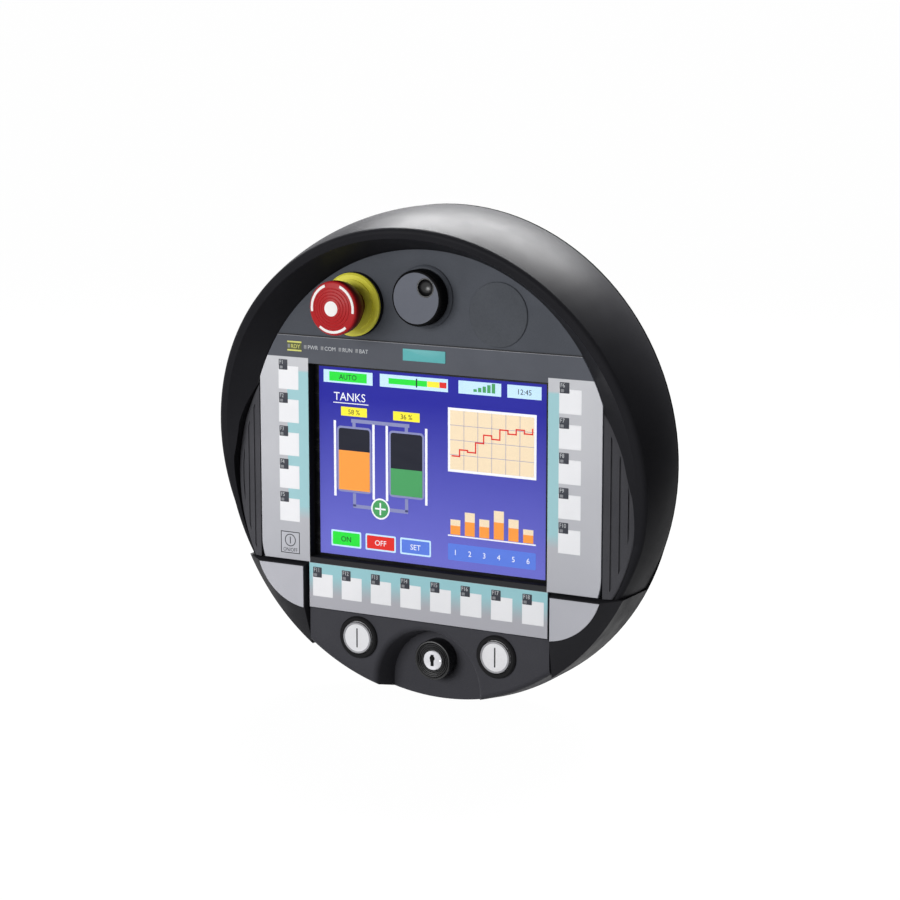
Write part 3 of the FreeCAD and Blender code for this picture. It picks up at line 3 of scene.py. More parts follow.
import bpy
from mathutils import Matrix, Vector


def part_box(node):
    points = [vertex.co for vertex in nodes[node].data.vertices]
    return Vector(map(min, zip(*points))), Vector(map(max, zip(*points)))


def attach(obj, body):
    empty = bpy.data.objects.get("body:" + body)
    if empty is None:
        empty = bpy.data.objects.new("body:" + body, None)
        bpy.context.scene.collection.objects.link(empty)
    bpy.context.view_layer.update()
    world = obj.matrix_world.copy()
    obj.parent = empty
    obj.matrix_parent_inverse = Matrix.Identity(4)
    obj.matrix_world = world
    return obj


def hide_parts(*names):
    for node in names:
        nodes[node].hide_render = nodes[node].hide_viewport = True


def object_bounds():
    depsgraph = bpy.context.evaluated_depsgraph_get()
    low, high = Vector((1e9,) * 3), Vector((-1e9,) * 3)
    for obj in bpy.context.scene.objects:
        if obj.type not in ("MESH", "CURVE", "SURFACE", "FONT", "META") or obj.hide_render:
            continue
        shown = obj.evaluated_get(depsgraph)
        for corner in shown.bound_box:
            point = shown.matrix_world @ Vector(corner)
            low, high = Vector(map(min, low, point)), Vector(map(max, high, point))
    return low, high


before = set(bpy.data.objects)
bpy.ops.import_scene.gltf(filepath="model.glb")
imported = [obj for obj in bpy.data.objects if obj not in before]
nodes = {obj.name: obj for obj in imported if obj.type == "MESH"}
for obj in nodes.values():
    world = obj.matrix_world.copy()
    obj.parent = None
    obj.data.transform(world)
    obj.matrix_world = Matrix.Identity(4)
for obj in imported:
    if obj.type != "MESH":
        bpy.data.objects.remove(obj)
cad_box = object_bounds()
MM = 0.001

# Faces that carry prints and marks, and the keys of the film
FOIL_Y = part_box("membrane_overlay")[0].y
GLASS_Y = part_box("touch_panel")[0].y
KEY_SIZE = (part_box("key_left_1")[1].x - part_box("key_left_1")[0].x) / MM
KEY_NODES = sorted(name for name in nodes if name.startswith("key_") and not name.startswith("key_switch"))


# Shader helpers

COLOUR_A, COLOUR_B, COLOUR_OUT = 6, 7, 2


def linear(*srgb):
    """A colour as seen on screen, 0 to 255, for a colour socket."""
    parts = [c / 255 for c in srgb]
    return tuple(c / 12.92 if c <= 0.04045 else ((c + 0.055) / 1.055) ** 2.4 for c in parts) + (1.0,)


def add_node(tree, kind, inputs=None, **settings):
    """A node with its settings made, and each input linked or set to a plain value."""
    made = tree.nodes.new(kind)
    for key, value in settings.items():
        setattr(made, key, value)
    for key, value in (inputs or {}).items():
        if isinstance(value, bpy.types.NodeSocket):
            tree.links.new(value, made.inputs[key])
        else:
            made.inputs[key].default_value = value
    return made


def new_group(name, inputs, outputs):
    tree = bpy.data.node_groups.new(name, "ShaderNodeTree")
    for label, kind, value in inputs:
        tree.interface.new_socket(label, in_out="INPUT", socket_type=kind).default_value = value
    for label, kind in outputs:
        tree.interface.new_socket(label, in_out="OUTPUT", socket_type=kind)
    return tree, tree.nodes.new("NodeGroupInput").outputs, tree.nodes.new("NodeGroupOutput").inputs


def place_group(tree, group, inputs):
    return add_node(tree, "ShaderNodeGroup", inputs, node_tree=group).outputs


def math_node(tree, operation, first, second=0.0, clamp=False):
    made = add_node(tree, "ShaderNodeMath", {0: first, 1: second}, operation=operation, use_clamp=clamp)
    return made.outputs[0]


def mix_colour(tree, factor, first, second, blend="MIX"):
    inputs = {"Factor": factor, COLOUR_A: first, COLOUR_B: second}
    return add_node(tree, "ShaderNodeMix", inputs, data_type="RGBA", blend_type=blend).outputs[COLOUR_OUT]


def spread(tree, value, low, high, to_low, to_high, smooth=False):
    inputs = {"Value": value, "From Min": low, "From Max": high, "To Min": to_low, "To Max": to_high}
    kind = "SMOOTHSTEP" if smooth else "LINEAR"
    return add_node(tree, "ShaderNodeMapRange", inputs, interpolation_type=kind).outputs[0]


def object_place(tree):
    return add_node(tree, "ShaderNodeTexCoord").outputs["Object"]


def object_axes(tree):
    return add_node(tree, "ShaderNodeSeparateXYZ", {"Vector": object_place(tree)}).outputs


def noise(tree, place, scale, detail, distortion=0.0):
    inputs = {"Vector": place, "Scale": scale, "Detail": detail, "Distortion": distortion}
    return add_node(tree, "ShaderNodeTexNoise", inputs).outputs[0]


def make_moulded_grain():
    """Moulded plastic: soft cloudy tone, eroded skin texture and uneven gloss."""
    tree, given, out = new_group("moulded_grain", [
        ("Dark", "NodeSocketColor", (0.01, 0.01, 0.01, 1)),
        ("Light", "NodeSocketColor", (0.02, 0.02, 0.02, 1)),
        ("Smooth", "NodeSocketFloat", 0.4),
        ("Rough", "NodeSocketFloat", 0.55),
        ("Grain", "NodeSocketFloat", 1800.0),
    ], [("Color", "NodeSocketColor"), ("Roughness", "NodeSocketFloat"), ("Height", "NodeSocketFloat")])
    place = object_place(tree)
    cloud = noise(tree, place, 28.0, 4.0)
    pits = add_node(tree, "ShaderNodeTexVoronoi", {"Vector": place, "Scale": given["Grain"]},
                    feature="SMOOTH_F1").outputs[0]
    skin = noise(tree, place, given["Grain"], 3.0)
    rubbed = noise(tree, place, 90.0, 6.0)
    cloudy = spread(tree, cloud, 0.3, 0.7, 0.0, 0.75)
    speckled = spread(tree, skin, 0.35, 0.65, 0.0, 0.25)
    tone = math_node(tree, "ADD", cloudy, speckled)
    gloss = spread(tree, rubbed, 0.35, 0.65, given["Smooth"], given["Rough"])
    height = math_node(tree, "ADD", pits, math_node(tree, "MULTIPLY", skin, 0.6))
    tree.links.new(mix_colour(tree, tone, given["Dark"], given["Light"]), out["Color"])
    tree.links.new(gloss, out["Roughness"])
    tree.links.new(height, out["Height"])
    return tree


def make_smudge():
    """Faint wiping marks on glossy faces, as a roughness and a height."""
    tree, given, out = new_group("wiped_face", [
        ("Smooth", "NodeSocketFloat", 0.1),
        ("Rough", "NodeSocketFloat", 0.25),
        ("Size", "NodeSocketFloat", 60.0),
    ], [("Roughness", "NodeSocketFloat"), ("Height", "NodeSocketFloat")])
    place = object_place(tree)
    wiping = {"Vector": place, "Rotation": (0.0, 0.5, 0.0), "Scale": (1.0, 1.0, 4.0)}
    streaks = add_node(tree, "ShaderNodeMapping", wiping).outputs[0]
    marks = noise(tree, streaks, given["Size"], 5.0, distortion=0.6)
    tree.links.new(spread(tree, marks, 0.35, 0.7, given["Smooth"], given["Rough"]), out["Roughness"])
    tree.links.new(noise(tree, place, 2600.0, 2.0), out["Height"])
    return tree


def make_band():
    """One between two limits of a coordinate, with soft ends."""
    tree, given, out = new_group("print_band", [
        ("Along", "NodeSocketFloat", 0.0),
        ("Low", "NodeSocketFloat", 0.0),
        ("High", "NodeSocketFloat", 1.0),
        ("Soft", "NodeSocketFloat", 0.0001),
    ], [("Mask", "NodeSocketFloat")])
    past_low = math_node(tree, "SUBTRACT", given["Along"], given["Low"])
    to_high = math_node(tree, "SUBTRACT", given["High"], given["Along"])
    rise = math_node(tree, "DIVIDE", past_low, given["Soft"], True)
    fall = math_node(tree, "DIVIDE", to_high, given["Soft"], True)
    tree.links.new(math_node(tree, "MULTIPLY", rise, fall), out["Mask"])
    return tree


def make_pixels():
    """The fine cell pattern of a display, over a tint."""
    tree, given, out = new_group("display_cells", [
        ("Tint", "NodeSocketColor", (0.5, 0.5, 0.5, 1)),
        ("Cells", "NodeSocketFloat", 4200.0),
    ], [("Color", "NodeSocketColor"), ("Height", "NodeSocketFloat")])
    facing = {"Vector": object_place(tree), "Rotation": (math.pi / 2, 0, 0)}
    upright = add_node(tree, "ShaderNodeMapping", facing).outputs[0]
    grid = add_node(tree, "ShaderNodeTexBrick", {
        "Vector": upright, "Scale": given["Cells"],
        "Mortar Size": 0.06, "Brick Width": 1.0, "Row Height": 1.0,
        "Color1": (1, 1, 1, 1), "Color2": (0.94, 0.94, 0.94, 1), "Mortar": (0.7, 0.7, 0.7, 1)}, offset=0.0)
    tree.links.new(mix_colour(tree, 1.0, given["Tint"], grid.outputs["Color"], "MULTIPLY"), out["Color"])
    tree.links.new(grid.outputs["Fac"], out["Height"])
    return tree


GRAIN = make_moulded_grain()
WIPED = make_smudge()
BAND = make_band()
CELLS = make_pixels()


# Materials: a gloss is the roughness of the smoothest and the roughest spots

PRINT_DEPTH = 0.00001
PRINT_GRAIN = 2600.0
FILM_GRAIN = 2400.0
METAL_GRAIN = 900.0
METAL_LIFT = 1.15
DISPLAY_GLOSS = (0.3, 0.42)


def new_material(name, **sockets):
    """A material with one principled surface; sockets set its plain values."""
    material = bpy.data.materials.new(name)
    material.use_nodes = True
    tree = material.node_tree
    surface = tree.nodes["Principled BSDF"]
    for key, value in sockets.items():
        surface.inputs[key.replace("_", " ")].default_value = value
    return material, tree, surface.inputs


def grained(tree, dark, light, gloss, grain):
    smooth, rough = gloss
    inputs = {"Dark": dark, "Light": light, "Smooth": smooth, "Rough": rough, "Grain": grain}
    return place_group(tree, GRAIN, inputs)


def wiped(tree, gloss):
    smooth, rough = gloss
    return place_group(tree, WIPED, {"Smooth": smooth, "Rough": rough})


def dress(tree, surface, colour, roughness):
    tree.links.new(colour, surface["Base Color"])
    tree.links.new(roughness, surface["Roughness"])


def add_bump(tree, surface, height, distance):
    bump = add_node(tree, "ShaderNodeBump", {"Height": height, "Distance": distance, "Strength": 1.0})
    tree.links.new(bump.outputs["Normal"], surface["Normal"])


def moulded(name, dark, light, gloss, grain, depth, specular=0.3, painted_shade=None):
    """Moulded plastic or rubber with its grain; painted_shade is the colour of a painted shade and the two
    levels along Y between which it darkens the piece towards its back.
    """
    material, tree, surface = new_material(name, Specular_IOR_Level=specular)
    skin = grained(tree, linear(*dark), linear(*light), gloss, grain)
    colour = skin["Color"]
    if painted_shade:
        tone, front, back = painted_shade
        # Painted shade: the colour fades to the given deeper tone between the two levels along Y.
        painted_shade_fade = spread(tree, object_axes(tree)["Y"], front, back, 0.0, 1.0, smooth=True)
        colour = mix_colour(tree, painted_shade_fade, colour, linear(*tone))
    dress(tree, surface, colour, skin["Roughness"])
    add_bump(tree, surface, skin["Height"], depth)
    return material


def printed(name, dark, light, gloss, specular=0.15):
    """Printed or painted film: almost even colour, faint wiping marks."""
    material, tree, surface = new_material(name, Specular_IOR_Level=specular)
    skin = grained(tree, linear(*dark), linear(*light), gloss, PRINT_GRAIN)
    marks = wiped(tree, gloss)
    dress(tree, surface, skin["Color"], marks["Roughness"])
    add_bump(tree, surface, marks["Height"], PRINT_DEPTH)
    return material


def metal(name, tone, gloss):
    """Bare metal with a fine grain."""
    material, tree, surface = new_material(name, Metallic=1.0)
    dark = linear(*tone)
    light = tuple(min(1.0, c * METAL_LIFT) for c in dark[:3]) + (1.0,)
    skin = grained(tree, dark, light, gloss, METAL_GRAIN)
    dress(tree, surface, skin["Color"], skin["Roughness"])
    add_bump(tree, surface, skin["Height"], PRINT_DEPTH)
    return material


def new_display_material(name):
    return new_material(name, Emission_Strength=0.3, Specular_IOR_Level=0.12)


def light_up(tree, surface, tint):
    """Show a tint through the cells of the display."""
    cells = place_group(tree, CELLS, {"Tint": tint})
    dress(tree, surface, cells["Color"], wiped(tree, DISPLAY_GLOSS)["Roughness"])
    tree.links.new(cells["Color"], surface["Emission Color"])


def lit(name, tint):
    """A lit field of the display."""
    material, tree, surface = new_display_material(name)
    light_up(tree, surface, linear(*tint))
    return material


def display_background():
    """The display's blue page, lighter towards its lower edge."""
    material, tree, surface = new_display_material("display_blue")
    fall = spread(tree, object_axes(tree)["Z"], 30 * MM, -66 * MM, 0.0, 1.0)
    light_up(tree, surface, mix_colour(tree, fall, linear(32, 33, 146), linear(104, 106, 196)))
    return material


# Fields of the keypad film, in millimetres from the middle of the panel
HEADER_Z = (52.4, 65.6)
HEADER_EDGE_Z = (65.6, 70.0)
OVER_DISPLAY_Z = (40.0, 60.0)
UNDER_DISPLAY_Z = (-72.4, -60.0)
DISPLAY_X = (-80.2, 80.2)
ROW_Z = (-101.0, -72.4)
ROW_TEAL_Z = (-92.5, -78.0)
TEAL_LEFT_X = (-95.3, -70.0)
TEAL_RIGHT_X = (70.0, 87.4)
TEAL_FADE_Z = (-46.0, 60.0)
TEAL_END_Z = (-101.0, 45.0)
SHADE_Z = (55.0, -100.0)


def membrane_print():
    """The keypad film: dark header, grey key fields, teal bands that fade into the grey."""
    material, tree, surface = new_material("membrane_print", Specular_IOR_Level=0.15)
    axes = object_axes(tree)
    across = axes["X"]
    up = axes["Z"]

    def band(along, limits, soft):
        low, high = limits
        inputs = {"Along": along, "Low": low * MM, "High": high * MM, "Soft": soft * MM}
        return place_group(tree, BAND, inputs)["Mask"]

    def ramp(limits, smooth=False):
        start, end = limits
        return spread(tree, up, start * MM, end * MM, 0.0, 1.0, smooth)

    def both(first, second):
        return math_node(tree, "MULTIPLY", first, second)

    def either(first, second):
        return math_node(tree, "MAXIMUM", first, second)

    shade = grained(tree, linear(190, 191, 196), linear(198, 199, 203), (0.38, 0.5), FILM_GRAIN)
    field = mix_colour(tree, ramp(SHADE_Z), shade["Color"], linear(170, 171, 178))
    row = band(up, ROW_Z, 0.1)
    field = mix_colour(tree, row, field, linear(171, 171, 178))
    columns = math_node(tree, "ADD", band(across, TEAL_LEFT_X, 0.3), band(across, TEAL_RIGHT_X, 0.3))
    run = both(band(up, TEAL_FADE_Z, 8.0), band(up, TEAL_END_Z, 1.5))
    above_row = math_node(tree, "SUBTRACT", 1.0, row)
    field = mix_colour(tree, both(columns, both(run, above_row)), field, linear(156, 198, 204))
    field = mix_colour(tree, both(row, ramp(ROW_TEAL_Z, smooth=True)), field, linear(150, 197, 204))
    beside = band(across, DISPLAY_X, 0.1)
    header = either(band(up, HEADER_Z, 0.12), both(beside, band(up, OVER_DISPLAY_Z, 0.1)))
    header_tone = grained(tree, linear(72, 75, 83), linear(80, 83, 91), (0.4, 0.5), FILM_GRAIN)["Color"]
    field = mix_colour(tree, header, field, header_tone)
    border = either(band(up, HEADER_EDGE_Z, 0.1), both(beside, band(up, UNDER_DISPLAY_Z, 0.1)))
    field = mix_colour(tree, border, field, linear(34, 34, 37))
    dress(tree, surface, field, shade["Roughness"])
    add_bump(tree, surface, shade["Height"], PRINT_DEPTH)
    return material


CAP_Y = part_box("estop_cap")[0].y
# Painted shade: the emergency stop's red darkens to a deeper red towards the back of the cap, where its side
# lies in shadow.
CAP_PAINTED_SHADE = ((96, 10, 12), CAP_Y + 2.2 * MM, CAP_Y + 6.0 * MM)
M = {
    "ring": moulded("ring_black_plastic", (30, 30, 33), (35, 35, 38), (0.38, 0.43), 1500.0, 0.00002, 0.02),
    "rear": moulded("rear_black_plastic", (26, 26, 29), (31, 31, 34), (0.5, 0.6), 1300.0, 0.00006, 0.12),
    "plate": moulded("plate_slate_plastic", (68, 71, 77), (75, 78, 85), (0.5, 0.6), 1500.0, 0.00005, 0.08),
    "plug": moulded("plug_slate_plastic", (64, 67, 72), (74, 77, 83), (0.5, 0.6), 900.0, 0.00012, 0.08),
    "chin": moulded("chin_slate_plastic", (58, 58, 63), (64, 64, 69), (0.5, 0.6), 1500.0, 0.00005, 0.08),
    "cover": moulded("cover_black_plastic", (32, 32, 35), (38, 38, 41), (0.45, 0.55), 1500.0, 0.00004, 0.08),
    "grip": moulded("grip_rubber", (62, 62, 66), (70, 70, 74), (0.6, 0.75), 1100.0, 0.00008, 0.1),
    "seal": moulded("seal_rubber", (14, 14, 15), (20, 20, 21), (0.6, 0.75), 1400.0, 0.00004, 0.08),
    "inlay": printed("inlay_film", (174, 175, 182), (182, 182, 189), (0.4, 0.52)),
    "window": printed("key_window_film", (229, 230, 233), (236, 236, 239), (0.4, 0.5)),
    "power": printed("power_key_film", (178, 179, 186), (186, 187, 194), (0.4, 0.5)),
    "label": printed("label_slate", (56, 58, 66), (64, 66, 74), (0.4, 0.5)),
    "letter": printed("letter_pale", (176, 180, 184), (196, 198, 201), (0.45, 0.55)),
    "ink": printed("ink_dark", (44, 46, 50), (54, 56, 60), (0.45, 0.55)),
    "bare_plate": printed("bare_plate_teal", (88, 166, 168), (96, 174, 176), (0.3, 0.42)),
    "lamp": printed("lamp_window_grey", (120, 122, 126), (140, 142, 146), (0.25, 0.4)),
    "ready_field": printed("ready_field_olive", (84, 88, 56), (92, 96, 62), (0.4, 0.5)),
    "bar_yellow": printed("bar_yellow", (200, 201, 104), (212, 212, 120), (0.4, 0.5)),
    "glass": printed("screen_black_glass", (6, 6, 8), (10, 10, 12), (0.18, 0.3), 0.25),
    "red": moulded("estop_red", (158, 22, 27), (170, 28, 32), (0.3, 0.42), 1800.0, 0.00002, 0.15, CAP_PAINTED_SHADE),
    "yellow": moulded("estop_yellow", (216, 210, 62), (224, 218, 80), (0.32, 0.44), 1800.0, 0.00002, 0.2),
    "white": printed("mark_white", (228, 226, 224), (236, 234, 232), (0.4, 0.5)),
    "device": moulded("device_black", (13, 13, 15), (18, 18, 20), (0.38, 0.5), 1600.0, 0.00003, 0.1),
    "lock": moulded("lock_black", (22, 22, 24), (28, 28, 30), (0.26, 0.36), 1600.0, 0.00002, 0.4),
    "knob_side_black_and_shade": moulded("knob_side_black_and_painted_shade", (6, 6, 7), (10, 10, 11), (0.4, 0.52), 1600.0, 0.00003, 0.05),
    "knob": moulded("knob_graphite", (92, 95, 104), (101, 104, 113), (0.45, 0.56), 1700.0, 0.00004, 0.08),
    "cup": printed("cup_gloss", (8, 8, 10), (14, 14, 16), (0.26, 0.34), 0.5),
    "lens": moulded("lens_white", (226, 226, 229), (234, 234, 237), (0.3, 0.42), 700.0, 0.00012, 0.3),
    "lens_edge_painted_shade": printed("lens_ring_grey_painted_shade", (150, 150, 154), (168, 168, 172), (0.35, 0.45), 0.2),
    "steel": metal("lock_steel", (196, 196, 200), (0.22, 0.36)),
    "can": metal("display_can", (150, 150, 152), (0.4, 0.55)),
    "contact": moulded("contact_plastic", (70, 70, 74), (84, 84, 88), (0.5, 0.6), 1200.0, 0.00003),
    "board": moulded("board_green", (20, 70, 44), (28, 86, 54), (0.4, 0.55), 900.0, 0.00002),
    "battery": moulded("battery_case", (40, 40, 44), (52, 52, 56), (0.5, 0.6), 1200.0, 0.00004),
    "film": membrane_print(),
    "blue": display_background(),
    "screen_white": lit("screen_white", (232, 234, 240)),
    "screen_pale": lit("screen_pale_blue", (190, 222, 244)),
    "screen_green": lit("screen_green", (40, 214, 60)),
    "screen_leaf": lit("screen_leaf", (70, 150, 92)),
    "screen_yellow": lit("screen_yellow", (240, 226, 60)),
    "screen_red": lit("screen_red", (214, 44, 40)),
    "screen_orange": lit("screen_orange", (238, 150, 66)),
    "screen_cream": lit("screen_cream", (232, 212, 180)),
    "screen_steel": lit("screen_steel", (128, 132, 176)),
    "screen_dark": lit("screen_dark", (26, 28, 40)),
    "screen_button": lit("screen_button", (88, 120, 214)),
}

FINISHED_NODES = {
    "ring": ("front_ring",),
    "plate": ("front_plate", "handwheel_bezel"),
    "plug": ("blank_plug",),
    "film": ("membrane_overlay",),
    "grip": ("grip_pad_left", "grip_pad_right", "enabling_button_left", "enabling_button_right"),
    "seal": ("display_gasket", "housing_seal"),
    "glass": ("touch_panel",),
    "can": ("lcd_module",),
    "yellow": ("estop_collar",),
    "red": ("estop_plunger", "estop_cap"),
    "knob": ("handwheel_knob",),
    "cup": ("handwheel_finger_cup",),
    "chin": ("chin_housing",),
    "cover": ("corner_cover_left", "corner_cover_right"),
    "inlay": ("corner_inlays",),
    "device": ("pushbutton_bezel_left", "pushbutton_bezel_right", "key_switch_collar"),
    "lens": ("pushbutton_lens_left", "pushbutton_lens_right"),
    "rear": ("rear_shell", "battery_cover"),
    "battery": ("battery_pack",),
    "board": ("main_board",),
    "steel": ("handwheel_shaft", "key_switch_barrel", "rear_screws", "board_screws"),
    "contact": ("estop_contact_block", "handwheel_encoder", "device_nuts", "pushbutton_switches",
                "key_switch_module", "enabling_switches"),
    "power": ("key_power",),
    "window": tuple(name for name in KEY_NODES if name != "key_power"),
}
for finish, names in FINISHED_NODES.items():
    for name in names:
        slots = nodes[name].data.materials
        slots.clear()
        slots.append(M[finish])


# Modelling helpers: each piece starts from a primitive and is shaped in edit mode

MERGE_DISTANCE = 0.000002
SAME_PLANE = 1e-7
ALONG = 0.9


def deselect():
    if bpy.context.object and bpy.context.object.mode != "OBJECT":
        bpy.ops.object.mode_set(mode="OBJECT")
    bpy.ops.object.select_all(action="DESELECT")


def choose(obj, kind, test):
    """Go to edit mode with the edges or faces selected for which test(middle, direction) is true."""
    bpy.ops.object.mode_set(mode="OBJECT")
    mesh = obj.data
    for part in (mesh.vertices, mesh.edges, mesh.polygons):
        part.foreach_set("select", [False] * len(part))
    bpy.context.tool_settings.mesh_select_mode = (False, kind == "EDGE", kind == "FACE")
    if kind == "FACE":
        for face in mesh.polygons:
            face.select = test(face.center, face.normal)
    else:
        for edge in mesh.edges:
            first, last = (mesh.vertices[number].co for number in edge.vertices)
            edge.select = test((first + last) / 2, (last - first).normalized())
    bpy.ops.object.mode_set(mode="EDIT")


def apply_place():
    bpy.ops.object.transform_apply(location=True, rotation=True, scale=True)


def finish_mesh(obj, angle=40.0):
    """Close the mesh, turn its faces outwards and smooth its round faces."""
    bpy.ops.object.mode_set(mode="EDIT")
    bpy.ops.mesh.select_all(action="SELECT")
    bpy.ops.mesh.remove_doubles(threshold=MERGE_DISTANCE)
    bpy.ops.mesh.normals_make_consistent(inside=False)
    bpy.ops.object.mode_set(mode="OBJECT")
    apply_place()
    bpy.ops.object.shade_smooth_by_angle(angle=math.radians(angle))
    return obj


def start_sheet(name, x, z, width, height, face):
    """A flat rectangle on the plane y = face, in edit mode with all of it selected."""
    deselect()
    bpy.ops.mesh.primitive_plane_add(size=1, location=(x * MM, face, z * MM), rotation=(math.pi / 2, 0, 0))
    obj = bpy.context.object
    obj.name = name
    obj.scale = (width * MM, height * MM, 1)
    apply_place()
    bpy.ops.object.mode_set(mode="EDIT")
    bpy.ops.mesh.select_all(action="SELECT")
    return obj


def thicken(thick):
    bpy.ops.mesh.extrude_region_move(TRANSFORM_OT_translate={"value": (0, -thick * MM, 0)})


def plate(name, x, z, width, height, face, thick, corner=0.0, edge=0.0):
    """A plate in millimetres with its back on the plane y = face, with rounded corners and front edge."""
    obj = start_sheet(name, x, z, width, height, face)
    thicken(thick)
    if corner:
        choose(obj, "EDGE", lambda middle, way: abs(way.y) > ALONG)
        bpy.ops.mesh.bevel(offset=corner * MM, segments=4, affect="EDGES")
    if edge:
        front = face - thick * MM
        choose(obj, "EDGE", lambda middle, way: abs(middle.y - front) < SAME_PLANE)
        bpy.ops.mesh.bevel(offset=edge * MM, segments=2, affect="EDGES")
    return finish_mesh(obj)


def outline_frame(name, x, z, width, height, line, face, thick):
    """A thin rectangular frame: a plate whose middle is inset and taken out."""
    obj = start_sheet(name, x, z, width, height, face)
    bpy.ops.mesh.inset(thickness=line * MM, use_boundary=True)
    bpy.ops.mesh.delete(type="FACE")
    bpy.ops.mesh.select_all(action="SELECT")
    thicken(thick)
    return finish_mesh(obj)


def lathe(name, profile, x, z, steps=96):
    """A turned piece about an axis along Y; profile is radius and level in millimetres."""
    deselect()
    centre = Vector((x * MM, 0, z * MM))
    out = Vector((1, 0, 0))
    points = [centre + out * radius * MM + Vector((0, -level * MM, 0)) for radius, level in profile]
    bpy.ops.mesh.primitive_plane_add(size=MM, location=points[0])
    obj = bpy.context.object
    obj.name = name
    apply_place()
    bpy.context.tool_settings.mesh_select_mode = (True, False, False)
    bpy.ops.object.mode_set(mode="EDIT")
    bpy.ops.mesh.select_all(action="SELECT")
    bpy.ops.mesh.merge(type="CENTER")
    for before, after in zip(points, points[1:]):
        bpy.ops.mesh.extrude_vertices_move(TRANSFORM_OT_translate={"value": after - before})
    bpy.ops.mesh.select_all(action="SELECT")
    bpy.ops.mesh.spin(steps=steps, angle=math.tau, center=centre, axis=(0, 1, 0))
    return finish_mesh(obj)


def coin(name, radius, low, high, x, z, steps):
    """A flat disc between two levels."""
    return lathe(name, [(0, low), (radius, low), (radius, high), (0, high)], x, z, steps)


def arc_strip(name, x, z, inner, outer, low, high, start, sweep, steps=24):
    """A curved bar between two radii and two levels, swept about an axis along Y."""
    deselect()
    middle = (inner + outer) / 2
    turn = math.radians(start)
    bpy.ops.mesh.primitive_plane_add(size=1)
    obj = bpy.context.object
    obj.name = name
    obj.scale = ((outer - inner) * MM, (high - low) * MM, 1)
    obj.rotation_euler = (0, -turn, 0)
    obj.location = (x * MM + middle * MM * math.cos(turn), -(low + high) / 2 * MM,
                    z * MM + middle * MM * math.sin(turn))
    apply_place()
    bpy.ops.object.mode_set(mode="EDIT")
    bpy.ops.mesh.select_all(action="SELECT")
    bpy.ops.mesh.spin(steps=steps, angle=math.radians(sweep), center=(x * MM, 0, z * MM), axis=(0, 1, 0))
    return finish_mesh(obj)


def lettering(name, text, x, z, size, face, thick=0.04, align="LEFT", squeeze=1.0):
    """Letters in millimetres that stand on the plane y = face, with their lower left or middle at (x, z)."""
    deselect()
    bpy.ops.object.text_add()
    obj = bpy.context.object
    obj.name = name
    obj.data.body = text
    obj.data.size = size * MM
    obj.data.align_x = align
    obj.data.extrude = thick / 2 * MM
    obj.data.resolution_u = 3
    bpy.ops.object.convert(target="MESH")
    obj = bpy.context.object
    obj.scale = (squeeze, 1, 1)
    obj.rotation_euler = (math.pi / 2, 0, 0)
    obj.location = (x * MM, face - thick / 2 * MM, z * MM)
    apply_place()
    return finish_mesh(obj)


def join(name, parts):
    """Join parts into one piece."""
    deselect()
    for part in parts:
        part.select_set(True)
    bpy.context.view_layer.objects.active = parts[0]
    if len(parts) > 1:
        bpy.ops.object.join()
    obj = bpy.context.object
    obj.name = name
    obj.data.name = name
    return obj


def carve(obj, space):
    """Take a closed form's space out of a piece."""
    deselect()
    obj.select_set(True)
    bpy.context.view_layer.objects.active = obj
    cutter = obj.modifiers.new("carve", "BOOLEAN")
    cutter.object = space
    cutter.operation = "DIFFERENCE"
    bpy.ops.object.modifier_apply(modifier=cutter.name)
    bpy.data.objects.remove(space)


def settle(obj, finish, body):
    """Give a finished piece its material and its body."""
    obj.data.materials.clear()
    obj.data.materials.append(M[finish])
    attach(obj, body)
    return obj


def middle_of(node):
    low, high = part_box(node)
    return (low.x + high.x) / 2 / MM, (low.z + high.z) / 2 / MM


def turned(node):
    """Front level, back level and radius of a round node, in millimetres."""
    low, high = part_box(node)
    return -low.y / MM, -high.y / MM, (high.x - low.x) / 2 / MM


# Key labels: a dark tag with a number and a lamp at the upper left corner of every key window

TAG = (6.1, 6.3)
TAG_OFFSET = (-3.7, 7.8)
TAG_THICK = 0.12
TAG_FRONT = FOIL_Y - TAG_THICK * MM
TAG_NUMBER_OFFSET = (-2.6, 0.25)
TAG_NUMBER_SIZE = 3.5
TAG_LAMP = (2.1, 1.7)
TAG_LAMP_OFFSET = (-1.3, -1.7)
TAG_LAMP_THICK = 0.06
NARROW = 0.85
FIRST_NUMBER = {"left": 0, "right": 5, "bottom": 10}


def key_number(name):
    side, number = name.split("_")[1:]
    return int(number) + FIRST_NUMBER[side]


tags = []
numbers = []
lamps = []
for name in KEY_NODES:
    if name == "key_power":
        continue
    x, z = middle_of(name)
    x, z = x + TAG_OFFSET[0], z + TAG_OFFSET[1]
    tags.append(plate(f"tag_{name}", x, z, *TAG, FOIL_Y, TAG_THICK, corner=0.3, edge=0.05))
    numbers.append(lettering(f"number_{name}", f"F{key_number(name)}", x + TAG_NUMBER_OFFSET[0],
                             z + TAG_NUMBER_OFFSET[1], TAG_NUMBER_SIZE, TAG_FRONT, squeeze=NARROW))
    lamps.append(plate(f"tag_lamp_{name}", x + TAG_LAMP_OFFSET[0], z + TAG_LAMP_OFFSET[1], *TAG_LAMP,
                       TAG_FRONT, TAG_LAMP_THICK, corner=0.2, edge=0.02))
settle(join("key_tags", tags), "label", "housing")
settle(join("key_tag_numbers", numbers), "letter", "housing")
settle(join("key_tag_lamps", lamps), "lamp", "housing")


# Film strips that close the play round the keys

STRIP_SIDE = KEY_SIZE + 0.6
STRIP_LINE = 0.27
STRIP_THICK = 0.25
strips = {"window": [], "power": []}
for name in KEY_NODES:
    x, z = middle_of(name)
    finish = "power" if name == "key_power" else "window"
    strips[finish].append(outline_frame(f"strip_{name}", x, z, STRIP_SIDE, STRIP_SIDE, STRIP_LINE,
                                        FOIL_Y + STRIP_THICK * MM, STRIP_THICK))
for finish, parts in strips.items():
    settle(join(f"key_strips_{finish}", parts), finish, "housing")


# Power key: framed field with the on and off sign

